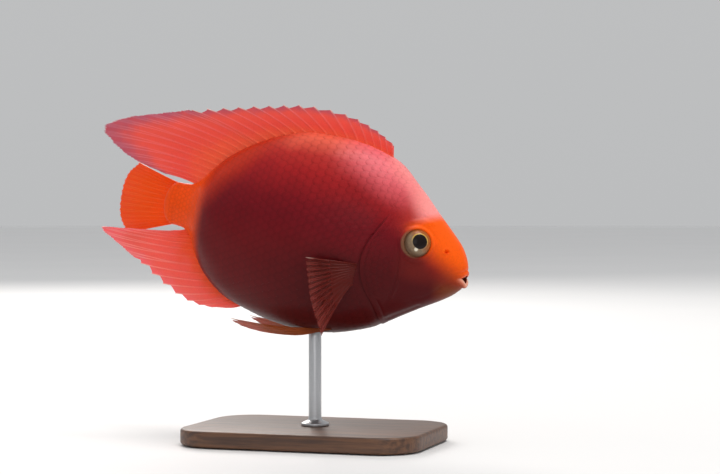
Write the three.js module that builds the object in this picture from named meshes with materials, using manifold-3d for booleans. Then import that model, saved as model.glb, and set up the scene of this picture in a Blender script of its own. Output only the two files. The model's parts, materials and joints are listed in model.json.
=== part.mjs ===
// A blood parrot cichlid as a life-size display model, in millimetres, +Z up.
// The fish is built level in its own frame: +X runs to the snout, +Y to its left side, and the
// origin lies in the middle of the body. A group then tips it nose down and lifts it over its
// stand, and the centre of the stand's underside is the origin of the whole model.
import * as THREE from "three";
import { mergeVertices } from "three/addons/utils/BufferGeometryUtils.js";
import Module from "manifold-3d";

const wasm = await Module();
wasm.setup();

// Driving dimensions: the pose.
const NOSE_DOWN = 11; // degrees
const SWIM_HEIGHT = 105; // from the ground to the middle of the body
const GAP = 0.3; // kept between neighbouring pieces

// Driving dimensions: the body, as sections from the snout to the end of the tail stalk.
// Each row gives x, the height of the back, the height of the belly, half the width, and the
// height at which the section is widest.
const STATIONS = [
  [81.2, -3.4, -9.6, 1.7, -6.4],
  [80.4, -0.2, -11.4, 4.1, -6.3],
  [78.6, 3.9, -13.6, 6.6, -5.8],
  [75.2, 8.7, -16.9, 9.5, -4.8],
  [69.0, 14.6, -21.2, 12.8, -3.0],
  [60.4, 22.3, -26.4, 16.6, -0.5],
  [49.6, 32.4, -33.4, 21.0, 1.0],
  [37.0, 42.6, -41.3, 25.4, 1.0],
  [22.0, 47.3, -46.6, 28.7, 0.5],
  [5.0, 49.3, -49.3, 30.2, 0],
  [-12.0, 48.4, -48.6, 29.5, 0],
  [-28.0, 43.6, -45.7, 27.2, 0],
  [-42.0, 36.4, -41.6, 24.4, 0],
  [-53.0, 28.6, -34.6, 20.6, 0],
  [-61.0, 20.8, -25.8, 14.8, 0],
  [-66.5, 14.6, -17.6, 9.0, -0.6],
  [-72.0, 11.0, -13.0, 6.2, -1.0],
  [-80.0, 10.0, -12.0, 4.6, -1.0],
];
const RINGS_PER_STATION = 2.2;
const SECTION_POINTS = 36; // round one section
const BACK_EXPONENT = 1.85; // under 2 makes the back narrower than an ellipse
const BELLY_EXPONENT = 2.15; // over 2 makes the belly fuller

// The body bends to its left from here back, and the tail fin bends further. The rear lobes of
// the fins on the midline trail straighter.
const SWAY_START = 10;
const SWAY = 0.0011; // per mm of length
const TAIL_ROOT = -70;
const TAIL_CURL = 0.004; // per mm of length
const FIN_TRAIL = 0.12; // sideways mm for each mm of length

// Where the body is divided.
const SEAM = { rear: 34.2, front: 43.5, height: -7, reach: 30 }; // behind the gill cover
const STALK_CUT = -66;

// The head.
const EYE = { x: 58.3, z: 6.4, radius: 7.1, bulge: 5.0, sunk: 2.2 };
const EYE_RIM = { radius: 6.9, tube: 0.8, squeeze: 0.95 };
const NOSTRIL = { x: 71.5, z: 4.6, radius: 0.9 };
const GILL_COVER = { x: 38, z: -7, length: 14.0, height: 25, arc: 69, thickness: 2.0, lift: 1.0 };
// The slit of the mouth in side view, from the corner past the notch to clear of the snout.
const MOUTH = { corner: [72.6, -9.2], notch: [77, -7.4], flare: 3.4, front: 86 };
const MOUTH_EDGES = { upper: -6.4, lower: -8.9 };
const JAW = { hinge: [64.5, -19.5], lean: 3 };
// Each lip is a roll from a corner of the mouth over the cheek to the front and round again.
const LIP = 1.05; // its radius
const UPPER_LIP = { corner: [73.4, -7.9], cheek: [77.2, -6.0], front: [81.4, -5.2] };
const LOWER_LIP = { corner: [74.0, -10.3], cheek: [77.4, -10.3], front: [81.0, -9.9] };

// Fins. A guide is a ray that sets the shape of the fan, and the rays lie between guides.
const MEMBRANE = 0.5;
const ROOT_DEPTH = 1.5; // the root starts this far under the skin before it is cut to it
const RAY_ROWS = [0, 0.14, 0.4, 0.72, 1];
const SPINE_STYLE = { rise: 0.34, tip: 0.1, notch: 0.1 };
const SOFT_STYLE = { rise: 0.22, tip: 0.1, notch: 0.035 };
const RAY_SHARE = 0.2; // half a ray's width, as a share of the distance between rays
const FLESHY = 0.3; // share of a ray's length over which the fin thickens towards its root
const ROOT_THICKNESS = { midline: 2.2, tail: 2.6, pectoral: 2.4, pelvic: 2.2 };
const BOW = { dorsal: 0.06, anal: 0.05 }; // how far a ray bows, as a share of its length
const BEND = 0.45; // where along its length a ray of a paired fin bends

// Guides of the fins on the midline: x of the root, then x and z of the tip.
const DORSAL_SPINES = [
  [33.5, 32.2, 50.6],
  [26, 21, 56.4],
  [15, 5, 60.8],
  [1, -17, 61.4],
  [-13, -38, 57.6],
  [-26, -60, 52.8],
  [-38.5, -83, 47.6],
];
const DORSAL_RAYS = [
  [-38.9, -83.6, 47.4],
  [-45, -102, 42.2],
  [-51, -120, 36.8],
  [-56.5, -132.5, 29.4],
  [-61.5, -119, 20.8],
  [-66, -105, 15.6],
  [-69.6, -90, 12.9],
];
const ANAL_RAYS = [
  [-30, -39, -47.4],
  [-35, -54, -49.6],
  [-41, -67, -48.0],
  [-47.5, -81.5, -42.2],
  [-54, -96, -35.2],
  [-60, -111, -27.8],
  [-64, -121.5, -21.8],
  [-66.8, -109, -19.6],
  [-68.8, -93, -17.4],
  [-70.4, -83, -16.0],
];
// Guides of the tail fin: z of the root, then x and z of the tip.
const TAIL_RAYS = [
  [9.2, -111, 15],
  [6, -118, 8],
  [-1, -121.5, -4],
  [-8, -118, -16],
  [-11.2, -111, -23],
];
// Guides of a fin of the flank, on the right side: x and z of the root, then the tip.
const PECTORAL_RAYS = [
  [32.2, -8.6, 8.8, -33.6, -9.6],
  [31.8, -11.5, 12.6, -35.4, -20],
  [31.4, -14.5, 16.6, -35.6, -31],
  [31.2, -18.6, 23.4, -31.4, -46.4],
];
const PECTORAL_OUT = 5.5; // how far a ray bows out of the flank
const LEFT_PECTORAL_LIFT = 5; // the far fin is held a little higher
// Guides of a fin of the belly, on the right side: x and y of the root, then the tip.
const PELVIC_RAYS = [
  [20.4, -9.0, -33.8, -13.5, -49.6],
  [19.2, -8.2, -26, -12.6, -52.4],
  [17.6, -7.2, -15, -10.6, -53.4],
  [15.8, -6.2, -6, -8.4, -52.4],
];
const PELVIC_DROP = 4.2; // how far a ray bows under the belly

// The stand.
const BASE = { length: 124, width: 84, height: 8, corner: 20, bevel: 1.5 };
const ROD = { radius: 3.2, collar: 7, collarHeight: 3, shoulder: 0.6, inBody: 20 };

const SKIN = new THREE.Color(0.62, 0.1, 0.12);
const FACE = new THREE.Color(0.95, 0.36, 0.08);
const FIN = new THREE.Color(0.92, 0.38, 0.32);

const sway = (x) => SWAY * Math.max(0, SWAY_START - x) ** 2;
const finSway = (x) => sway(Math.max(x, TAIL_ROOT)) + FIN_TRAIL * Math.max(0, TAIL_ROOT - x);
const tailSway = (x) => sway(x) + TAIL_CURL * Math.max(0, TAIL_ROOT - x) ** 2;
const mix = THREE.MathUtils.lerp;

// Solids: a closed geometry becomes a solid, and a solid's largest closed surface a geometry.
function solidOf(geometry) {
  const bare = geometry.clone();
  bare.deleteAttribute("normal");
  bare.deleteAttribute("uv");
  const merged = mergeVertices(bare, 1e-4);
  const mesh = new wasm.Mesh({
    numProp: 3,
    vertProperties: merged.attributes.position.array,
    triVerts: new Uint32Array(merged.index.array),
  });
  return new wasm.Manifold(mesh);
}

function geometryOf(solid) {
  const bodies = solid.decompose().sort((a, b) => b.volume() - a.volume());
  const mesh = bodies[0].getMesh();
  const geometry = new THREE.BufferGeometry();
  const points = new THREE.BufferAttribute(new Float32Array(mesh.vertProperties), 3);
  geometry.setAttribute("position", points);
  geometry.setIndex(new THREE.BufferAttribute(new Uint32Array(mesh.triVerts), 1));
  geometry.computeVertexNormals();
  return geometry;
}

function indexedGeometry(points, triangles) {
  const geometry = new THREE.BufferGeometry().setFromPoints(points);
  geometry.setIndex(triangles.flat());
  return geometry;
}

// A prism with its outline in the plane of x and z, from one y to another.
function prism(outline, fromY, toY) {
  const shape = new THREE.Shape(outline.map(([x, z]) => new THREE.Vector2(x, z)));
  const block = new THREE.ExtrudeGeometry(shape, { depth: toY - fromY, bevelEnabled: false });
  block.rotateX(Math.PI / 2);
  block.translate(0, toY, 0);
  return solidOf(block);
}

// The body's section at a place along the table of stations, or at a given x.
const alongBody = new THREE.CubicInterpolant(
  STATIONS.map((row, i) => i),
  STATIONS.flat(),
  STATIONS[0].length,
);

function sectionAt(place) {
  const [x, back, belly, half, widest] = alongBody.evaluate(place);
  return { x, back, belly, half, widest };
}

function sectionAtX(x) {
  let [low, high] = [0, STATIONS.length - 1];
  for (let i = 0; i < 30; i++) {
    const middle = (low + high) / 2;
    if (sectionAt(middle).x > x) low = middle;
    else high = middle;
  }
  return sectionAt(low);
}

const signedPower = (value, power) => Math.sign(value) * Math.abs(value) ** power;

function sectionPoint({ x, back, belly, half, widest }, angle) {
  const up = Math.sin(angle) > 0;
  const power = 2 / (up ? BACK_EXPONENT : BELLY_EXPONENT);
  const reach = up ? back - widest : widest - belly;
  const y = sway(x) + half * signedPower(Math.cos(angle), power);
  return new THREE.Vector3(x, y, widest + reach * signedPower(Math.sin(angle), power));
}

// The whole body as one loft of closed sections, grown or shrunk by a distance that x may change.
function bodyLoft(growth) {
  const rings = Math.round((STATIONS.length - 1) * RINGS_PER_STATION);
  const points = [];
  for (let ring = 0; ring <= rings; ring++) {
    const section = sectionAt((ring / rings) * (STATIONS.length - 1));
    for (let k = 0; k < SECTION_POINTS; k++)
      points.push(sectionPoint(section, (k / SECTION_POINTS) * 2 * Math.PI));
  }
  const corner = (ring, k) => ring * SECTION_POINTS + (k % SECTION_POINTS);
  const triangles = [];
  for (let ring = 0; ring < rings; ring++)
    for (let k = 0; k < SECTION_POINTS; k++) {
      const [a, b] = [corner(ring, k), corner(ring, k + 1)];
      const [c, d] = [corner(ring + 1, k + 1), corner(ring + 1, k)];
      triangles.push([a, d, c], [a, c, b]);
    }
  const snout = STATIONS[0];
  const stalk = STATIONS[STATIONS.length - 1];
  points.push(new THREE.Vector3(snout[0] + 0.2, 0, snout[4]));
  points.push(new THREE.Vector3(stalk[0], sway(stalk[0]), stalk[4]));
  for (let k = 0; k < SECTION_POINTS; k++) {
    triangles.push([points.length - 2, corner(0, k), corner(0, k + 1)]);
    triangles.push([points.length - 1, corner(rings, k + 1), corner(rings, k)]);
  }
  const loft = indexedGeometry(points, triangles);
  loft.computeVertexNormals();
  const { position, normal } = loft.attributes;
  for (let i = 0; i < position.count; i++) {
    const away = new THREE.Vector3().fromBufferAttribute(normal, i);
    const point = new THREE.Vector3().fromBufferAttribute(position, i);
    point.addScaledVector(away, growth(point.x));
    position.setXYZ(i, point.x, point.y, point.z);
  }
  return solidOf(loft);
}

// The skin of one flank over a place in side view, and the way it faces. Side is -1 on the right.
function flankY(x, z, side) {
  const { back, belly, half, widest } = sectionAtX(x);
  const up = z > widest;
  const share = Math.min(1, Math.abs(z - widest) / (up ? back - widest : widest - belly));
  const power = up ? BACK_EXPONENT : BELLY_EXPONENT;
  return sway(x) + side * half * (1 - share ** power) ** (1 / power);
}

function bellyPoint(x, y) {
  const { belly, half, widest } = sectionAtX(x);
  const share = Math.min(1, Math.abs(y - sway(x)) / half);
  const drop = (1 - share ** BELLY_EXPONENT) ** (1 / BELLY_EXPONENT);
  return new THREE.Vector3(x, y, widest - (widest - belly) * drop);
}

function flankPoint(x, z, side) {
  return new THREE.Vector3(x, flankY(x, z, side), z);
}

function flankNormal(x, z, side) {
  const step = 0.5;
  const alongX = flankPoint(x + step, z, side).sub(flankPoint(x - step, z, side));
  const alongZ = flankPoint(x, z + step, side).sub(flankPoint(x, z - step, side));
  return alongX.cross(alongZ).normalize().multiplyScalar(side > 0 ? -1 : 1);
}

// The line behind the gill cover that parts the head from the trunk, in side view: straight
// stretches between breaks, so that every piece along it follows the same line.
const SEAM_BREAKS = 6; // on each side of its middle
function seamX(z) {
  const place = SEAM_BREAKS * THREE.MathUtils.clamp((z - SEAM.height) / SEAM.reach, -1, 1);
  const low = Math.min(Math.floor(place), SEAM_BREAKS - 1);
  const curve = (k) => mix(SEAM.rear, SEAM.front, (1 - Math.cos((Math.PI * k) / SEAM_BREAKS)) / 2);
  return mix(curve(low), curve(low + 1), place - low);
}

// The seam from its upper end down, moved along x by a shift.
function seamLine(topZ, bottomZ, shift) {
  const levels = [topZ];
  for (let k = SEAM_BREAKS; k >= -SEAM_BREAKS; k--) {
    const z = SEAM.height + (k / SEAM_BREAKS) * SEAM.reach;
    if (z < topZ && z > bottomZ) levels.push(z);
  }
  return [...levels, bottomZ].map((z) => [seamX(z) + shift, z]);
}

const whole = bodyLoft(() => 0);
const cleared = bodyLoft(() => GAP); // what fins and the rod are cut to
const FAR = 70; // past the body on every side

function trunkSolid() {
  const outline = seamLine(FAR, -FAR, -GAP / 2);
  const rear = STALK_CUT + GAP / 2;
  return whole.intersect(prism([...outline, [rear, -FAR], [rear, FAR]], -FAR, FAR));
}

function stalkSolid() {
  const [front, rear] = [STALK_CUT - GAP / 2, STATIONS[STATIONS.length - 1][0] - 5];
  const outline = [[front, -FAR], [front, FAR], [rear, FAR], [rear, -FAR]];
  return whole.intersect(prism(outline, -FAR, FAR));
}

// The gill cover: a curved plate in a recess of the head, flush in front and proud behind.
function gillCoverOutline(margin) {
  const top = GILL_COVER.z + GILL_COVER.height * Math.sin(THREE.MathUtils.degToRad(GILL_COVER.arc));
  const bottom = 2 * GILL_COVER.z - top;
  const front = [];
  const steps = 12;
  for (let i = 0; i <= steps; i++) {
    const angle = THREE.MathUtils.degToRad(mix(-GILL_COVER.arc, GILL_COVER.arc, i / steps));
    const x = GILL_COVER.x + (GILL_COVER.length + margin) * Math.cos(angle);
    front.push([x, GILL_COVER.z + (GILL_COVER.height + margin) * Math.sin(angle)]);
  }
  const rearShift = margin > 0 ? -GILL_COVER.thickness : GAP / 2;
  return [...seamLine(top + margin, bottom - margin, rearShift), ...front];
}

function gillCoverSolid(side) {
  const { length, lift, thickness } = GILL_COVER;
  const front = GILL_COVER.x + length;
  const raised = (x) => lift * THREE.MathUtils.clamp((front - x) / length, 0, 1);
  const floor = (x) => (x < EYE.x ? -thickness : 0);
  const outline = gillCoverOutline(0);
  const plate = prism(outline, side > 0 ? 0 : -FAR, side > 0 ? FAR : 0);
  return plate.intersect(bodyLoft(raised)).subtract(bodyLoft(floor));
}

function gillRecess(side) {
  const floor = (x) => (x < EYE.x ? -GILL_COVER.thickness - GAP : 0);
  const outline = gillCoverOutline(GAP);
  const block = prism(outline, side > 0 ? 0 : -FAR, side > 0 ? FAR : 0);
  return block.subtract(bodyLoft(floor));
}

// Eyes: a flattened ball that looks along the way the cheek faces.
function eyeball(side, margin) {
  const ball = new THREE.SphereGeometry(1, 20, 10);
  ball.rotateX(Math.PI / 2);
  ball.scale(EYE.radius + margin, EYE.radius + margin, EYE.bulge + margin);
  const facing = flankNormal(EYE.x, EYE.z, side);
  const turn = new THREE.Quaternion().setFromUnitVectors(new THREE.Vector3(0, 0, 1), facing);
  ball.applyQuaternion(turn);
  const centre = flankPoint(EYE.x, EYE.z, side).addScaledVector(facing, -EYE.sunk);
  ball.translate(...centre);
  return solidOf(ball);
}

function eyeRim(side) {
  const points = [];
  const count = 16;
  for (let i = 0; i < count; i++) {
    const angle = (i / count) * 2 * Math.PI;
    const x = EYE.x + EYE_RIM.radius * Math.cos(angle) * EYE_RIM.squeeze;
    points.push(flankPoint(x, EYE.z + EYE_RIM.radius * Math.sin(angle), side));
  }
  const path = new THREE.CatmullRomCurve3(points, true);
  return solidOf(new THREE.TubeGeometry(path, 20, EYE_RIM.tube, 5, true));
}

// A round bar along a path, closed at both ends, for the rolls of the lips.
function bar(points, radius) {
  const path = new THREE.CatmullRomCurve3(points);
  const section = new THREE.Shape().absarc(0, 0, radius, 0, 2 * Math.PI);
  const options = { steps: 12, curveSegments: 4, bevelEnabled: false, extrudePath: path };
  return solidOf(new THREE.ExtrudeGeometry(section, options));
}

function lip({ corner, cheek, front }) {
  const sunk = 0.6 * LIP;
  const halfPath = (side) => [corner, cheek].map(([x, z]) => {
    const point = flankPoint(x, z, side);
    return point.setY(point.y - side * sunk);
  });
  const middle = new THREE.Vector3(front[0] - sunk, 0, front[1]);
  return bar([...halfPath(-1), middle, ...halfPath(1).reverse()], LIP);
}

// What lies below the slit of the mouth and in front of the jaw's hinge. Its edges move up by a
// rise and back by a shift, so that the head is cut a little wider than the jaw.
function jawOutline(mouthEdge, rise, shift) {
  const { corner, notch, flare, front } = MOUTH;
  return [
    [front, mouthEdge],
    [notch[0] + flare, mouthEdge],
    [notch[0], notch[1] + rise],
    [corner[0] - shift, corner[1] + rise / 2],
    [JAW.hinge[0] - shift, JAW.hinge[1]],
    [JAW.hinge[0] - JAW.lean - shift, -FAR],
    [front, -FAR],
  ];
}

function lowerJawSolid() {
  const jaw = whole.intersect(prism(jawOutline(MOUTH_EDGES.lower, -GAP, 0), -FAR, FAR));
  return jaw.add(lip(LOWER_LIP));
}

function headSolid() {
  const headSide = [...seamLine(FAR, -FAR, GAP / 2), [FAR + 30, -FAR], [FAR + 30, FAR]];
  let head = whole.intersect(prism(headSide, -FAR, FAR));
  head = head.subtract(prism(jawOutline(MOUTH_EDGES.upper, GAP, GAP), -FAR, FAR));
  head = head.add(lip(UPPER_LIP));
  for (const side of [-1, 1]) {
    head = head.add(eyeRim(side));
    head = head.subtract(eyeball(side, GAP));
    head = head.subtract(gillRecess(side));
    const pit = new THREE.SphereGeometry(NOSTRIL.radius, 8, 6);
    pit.translate(...flankPoint(NOSTRIL.x, NOSTRIL.z, side));
    head = head.subtract(solidOf(pit));
  }
  return head;
}

// A fan of rays: each guide holds root, bend and tip, and a place in the fan lies between guides.
function fan(guides, place) {
  const last = guides.length - 1;
  const rows = guides.map((guide) => guide.flatMap((point) => [...point]));
  const between = new THREE.CubicInterpolant(rows.map((row, i) => i / last), rows.flat(), 9);
  return (s, v) => {
    const guide = between.evaluate(s);
    const weights = [(1 - v) ** 2, 2 * v * (1 - v), v ** 2];
    const point = new THREE.Vector3();
    weights.forEach((weight, i) => {
      point.addScaledVector(new THREE.Vector3().fromArray(guide, 3 * i), weight);
    });
    return place ? place(point, s, v) : point;
  };
}

// The way the sheet of a fan faces at a place.
function fanNormal(at, s, v) {
  const step = 0.01;
  const clamp = (value) => THREE.MathUtils.clamp(value, 0, 1);
  const across = at(clamp(s + step), v).sub(at(clamp(s - step), v));
  const along = at(s, clamp(v + step)).sub(at(s, clamp(v - step)));
  return across.cross(along).normalize();
}

// A fin: a thin sheet with each ray raised in both of its faces, and the margin drawn in between
// the tips of the rays. The first spines of it are stiff and stand out further.
function finSolid({ at, rays, spines = 0, rootThickness }) {
  const pitch = 1 / (rays - 1 + 2 * RAY_SHARE);
  const columns = [];
  for (let ray = 0; ray < rays; ray++)
    for (const foot of [-1, 0, 1]) {
      const style = ray < spines ? SPINE_STYLE : SOFT_STYLE;
      columns.push({ s: pitch * (ray + RAY_SHARE * (1 + foot)), crest: foot === 0, style });
    }
  const front = [];
  const back = [];
  for (const { s, crest, style } of columns)
    for (const row of RAY_ROWS) {
      const v = crest ? row : row * (1 - style.notch);
      const fleshy = Math.max(0, 1 - v / FLESHY) ** 2;
      let thickness = MEMBRANE + (rootThickness - MEMBRANE) * fleshy;
      if (crest) thickness += 2 * mix(style.rise, style.tip, v);
      if (crest && row === 1) thickness = MEMBRANE * 0.8;
      const middle = at(s, v);
      const facing = fanNormal(at, s, v);
      front.push(middle.clone().addScaledVector(facing, thickness / 2));
      back.push(middle.clone().addScaledVector(facing, -thickness / 2));
    }
  const rows = RAY_ROWS.length;
  const corner = (column, row) => column * rows + row;
  const behind = (index) => index + front.length;
  const triangles = [];
  for (let column = 0; column + 1 < columns.length; column++)
    for (let row = 0; row + 1 < rows; row++) {
      const [a, b] = [corner(column, row), corner(column + 1, row)];
      const [c, d] = [corner(column + 1, row + 1), corner(column, row + 1)];
      triangles.push([a, b, c], [a, c, d]);
      triangles.push([behind(a), behind(c), behind(b)], [behind(a), behind(d), behind(c)]);
    }
  const rim = [];
  for (let column = 0; column < columns.length; column++) rim.push(corner(column, 0));
  for (let row = 1; row < rows; row++) rim.push(corner(columns.length - 1, row));
  for (let column = columns.length - 2; column >= 0; column--) rim.push(corner(column, rows - 1));
  for (let row = rows - 2; row > 0; row--) rim.push(corner(0, row));
  rim.forEach((p, i) => {
    const q = rim[(i + 1) % rim.length];
    triangles.push([p, behind(p), behind(q)], [p, behind(q), q]);
  });
  return solidOf(indexedGeometry([...front, ...back], triangles)).subtract(cleared);
}

// A guide of a fin on the midline, whose root follows the back (edge 1) or the belly (edge -1).
function midlineGuide([rootX, tipX, tipZ], edge, bow) {
  const { back, belly } = sectionAtX(rootX);
  const root = new THREE.Vector3(rootX, 0, (edge > 0 ? back : belly) - edge * ROOT_DEPTH);
  const tip = new THREE.Vector3(tipX, 0, tipZ);
  const bend = root.clone().lerp(tip, 0.5);
  bend.z += edge * bow * root.distanceTo(tip);
  return [root, bend, tip];
}

const WAVE = { height: 1.1, count: 2.5 }; // a slow ripple across the soft part of a fin
const ripple = (s, v) => WAVE.height * v * v * Math.sin(s * WAVE.count * 2 * Math.PI);

function midlineFan(rows, edge, bow, rippling) {
  const guides = rows.map((row) => midlineGuide(row, edge, bow));
  return fan(guides, (point, s, v) => point.setY(finSway(point.x) + rippling * ripple(s, v)));
}

function dorsalSpinySolid() {
  const at = midlineFan(DORSAL_SPINES, 1, BOW.dorsal, 0);
  return finSolid({ at, rays: 16, spines: 16, rootThickness: ROOT_THICKNESS.midline });
}

function dorsalSoftSolid() {
  const at = midlineFan(DORSAL_RAYS, 1, BOW.dorsal, 1);
  return finSolid({ at, rays: 12, rootThickness: ROOT_THICKNESS.midline });
}

function analSolid() {
  const at = midlineFan(ANAL_RAYS, -1, BOW.anal, 0.7);
  return finSolid({ at, rays: 17, spines: 8, rootThickness: ROOT_THICKNESS.midline });
}

function tailFinSolid() {
  const rootX = STATIONS[STATIONS.length - 1][0] + ROOT_DEPTH;
  const guides = TAIL_RAYS.map(([rootZ, tipX, tipZ]) => {
    const root = new THREE.Vector3(rootX, 0, rootZ);
    const tip = new THREE.Vector3(tipX, 0, tipZ);
    return [root, root.clone().lerp(tip, 0.5), tip];
  });
  const place = (point, s, v) => point.setY(tailSway(point.x) + 0.5 * ripple(s, v));
  return finSolid({ at: fan(guides, place), rays: 16, rootThickness: ROOT_THICKNESS.tail });
}

// The paired fins are set out on the right side and mirrored to the left.
function mirrored(point, side) {
  return side > 0 ? point.setY(-point.y) : point;
}

function pectoralSolid(side) {
  const guides = PECTORAL_RAYS.map(([rootX, rootZ, tipX, tipY, tipZ]) => {
    const root = flankPoint(rootX, rootZ, -1);
    root.y += ROOT_DEPTH;
    const tip = new THREE.Vector3(tipX, tipY, tipZ);
    if (side > 0) tip.z += LEFT_PECTORAL_LIFT * ((rootZ - PECTORAL_RAYS[0][1]) / -10);
    const bend = root.clone().lerp(tip, BEND);
    bend.y -= PECTORAL_OUT;
    return [root, bend, tip].map((point) => mirrored(point, side));
  });
  return finSolid({ at: fan(guides), rays: 12, spines: 1, rootThickness: ROOT_THICKNESS.pectoral });
}

function pelvicSolid(side) {
  const guides = PELVIC_RAYS.map(([rootX, rootY, tipX, tipY, tipZ]) => {
    const root = bellyPoint(rootX, rootY);
    root.z += ROOT_DEPTH;
    const tip = new THREE.Vector3(tipX, tipY, tipZ);
    const bend = root.clone().lerp(tip, BEND);
    bend.z -= PELVIC_DROP;
    return [root, bend, tip].map((point) => mirrored(point, side));
  });
  return finSolid({ at: fan(guides), rays: 7, spines: 1, rootThickness: ROOT_THICKNESS.pelvic });
}

// The stand: a rounded plate, and a rod with a collar that ends in the form of the belly.
function baseGeometry() {
  const [halfLength, halfWidth] = [BASE.length / 2 - BASE.bevel, BASE.width / 2 - BASE.bevel];
  const inset = { x: halfLength - BASE.corner, y: halfWidth - BASE.corner };
  const outline = new THREE.Shape();
  outline.absarc(inset.x, inset.y, BASE.corner, 0, Math.PI / 2);
  outline.absarc(-inset.x, inset.y, BASE.corner, Math.PI / 2, Math.PI);
  outline.absarc(-inset.x, -inset.y, BASE.corner, Math.PI, 1.5 * Math.PI);
  outline.absarc(inset.x, -inset.y, BASE.corner, 1.5 * Math.PI, 2 * Math.PI);
  const plate = new THREE.ExtrudeGeometry(outline, {
    depth: BASE.height - 2 * BASE.bevel,
    curveSegments: 6,
    bevelThickness: BASE.bevel,
    bevelSize: BASE.bevel,
    bevelSegments: 2,
  });
  plate.translate(0, 0, BASE.bevel);
  return geometryOf(solidOf(plate));
}

function rodGeometry(fishMatrix) {
  const bottom = BASE.height + GAP;
  const top = SWIM_HEIGHT - ROD.inBody;
  const profile = [
    [0, bottom],
    [ROD.collar, bottom],
    [ROD.collar, bottom + ROD.collarHeight * 0.5],
    [ROD.radius + ROD.shoulder, bottom + ROD.collarHeight],
    [ROD.radius, bottom + ROD.collarHeight + 1],
    [ROD.radius, top],
    [0, top],
  ];
  const points = profile.map(([r, z]) => new THREE.Vector2(r, z));
  const rod = new THREE.LatheGeometry(points, 24);
  rod.rotateX(Math.PI / 2);
  const belly = geometryOf(cleared).applyMatrix4(fishMatrix);
  return geometryOf(solidOf(rod).subtract(solidOf(belly)));
}

function piece(name, geometry, color, roughness = 0.45) {
  const material = new THREE.MeshStandardMaterial({ color, roughness, metalness: 0 });
  const mesh = new THREE.Mesh(geometry, material);
  mesh.name = name;
  return mesh;
}

const fish = new THREE.Group();
fish.rotation.y = THREE.MathUtils.degToRad(NOSE_DOWN);
fish.position.z = SWIM_HEIGHT;
fish.updateMatrix();
fish.add(piece("head", geometryOf(headSolid()), FACE));
fish.add(piece("lower_jaw", geometryOf(lowerJawSolid()), FACE));
fish.add(piece("trunk", geometryOf(trunkSolid()), SKIN));
fish.add(piece("tail_stalk", geometryOf(stalkSolid()), SKIN));
for (const [side, name] of [[-1, "right"], [1, "left"]]) {
  fish.add(piece(`gill_cover_${name}`, geometryOf(gillCoverSolid(side)), SKIN));
  fish.add(piece(`eye_${name}`, geometryOf(eyeball(side, 0)), new THREE.Color(0.1, 0.09, 0.06), 0.1));
  fish.add(piece(`pectoral_fin_${name}`, geometryOf(pectoralSolid(side)), FIN));
  fish.add(piece(`pelvic_fin_${name}`, geometryOf(pelvicSolid(side)), FIN));
}
fish.add(piece("dorsal_fin_spiny", geometryOf(dorsalSpinySolid()), FIN));
fish.add(piece("dorsal_fin_soft", geometryOf(dorsalSoftSolid()), FIN));
fish.add(piece("anal_fin", geometryOf(analSolid()), FIN));
fish.add(piece("caudal_fin", geometryOf(tailFinSolid()), FIN));

const model = new THREE.Group();
model.add(fish);
model.add(piece("stand_base", baseGeometry(), new THREE.Color(0.12, 0.12, 0.13)));
const steel = new THREE.Color(0.7, 0.71, 0.72);
model.add(piece("stand_rod", rodGeometry(fish.matrix), steel, 0.3));
model.getObjectByName("stand_rod").material.metalness = 1;

export default model;
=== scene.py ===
# %% [markdown]
# # A blood parrot cichlid, life size
# A blood parrot is a deep, round aquarium fish with a small triangular mouth, large eyes and a coat
# of crimson scales. The solids of a display model of it are already there: body, eyes, fins and
# stand, each at its real size and place. This lesson gives each of them the surface of the real
# thing. The fish was measured level, in millimetres, and the solids hold it tipped nose down over
# its stand, so the first helper turns fish millimetres into metres of the model.

# %% Load the solids
import json
import math

import bpy
import numpy as np
from mathutils import Matrix, Vector

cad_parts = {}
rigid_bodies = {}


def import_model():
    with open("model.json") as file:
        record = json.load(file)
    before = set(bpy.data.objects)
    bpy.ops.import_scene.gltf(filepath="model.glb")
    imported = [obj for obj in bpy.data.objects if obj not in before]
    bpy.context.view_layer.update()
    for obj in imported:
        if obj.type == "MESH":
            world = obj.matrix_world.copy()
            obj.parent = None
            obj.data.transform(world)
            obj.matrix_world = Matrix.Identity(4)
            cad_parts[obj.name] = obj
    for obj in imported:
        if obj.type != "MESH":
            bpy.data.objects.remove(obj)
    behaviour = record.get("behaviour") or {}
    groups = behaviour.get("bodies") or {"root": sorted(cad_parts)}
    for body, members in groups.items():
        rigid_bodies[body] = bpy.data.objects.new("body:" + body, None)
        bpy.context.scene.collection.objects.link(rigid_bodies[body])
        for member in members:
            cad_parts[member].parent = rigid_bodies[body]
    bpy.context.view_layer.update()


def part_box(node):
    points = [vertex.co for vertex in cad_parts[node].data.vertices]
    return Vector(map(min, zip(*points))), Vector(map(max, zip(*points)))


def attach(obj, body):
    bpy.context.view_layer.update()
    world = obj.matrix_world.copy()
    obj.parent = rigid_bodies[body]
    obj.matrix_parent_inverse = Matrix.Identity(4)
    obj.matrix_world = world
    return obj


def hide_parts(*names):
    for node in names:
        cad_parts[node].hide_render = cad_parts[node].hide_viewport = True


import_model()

# %% From the level fish to the model
MM = 0.001
NOSE_DOWN = math.radians(11)
SWIM_HEIGHT = 105  # from the ground to the middle of the body


def to_model(points):
    """Points of the level fish, in millimetres, as points of the model, in metres."""
    x, y, z = np.moveaxis(np.asarray(points, float), -1, 0)
    along = x * math.cos(NOSE_DOWN) + z * math.sin(NOSE_DOWN)
    up = z * math.cos(NOSE_DOWN) - x * math.sin(NOSE_DOWN) + SWIM_HEIGHT
    return np.stack((along, y, up), -1) * MM


BODY = Vector(to_model((0, 0, 0)))
print("middle of the body:", BODY)

# %% [markdown]
# ## The camera
# The view fixes how much detail each piece deserves, so the camera comes first. A long lens from a
# metre away keeps the proportions of a small fish true. It looks from the fish's right side and a
# little from in front, almost level.

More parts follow.
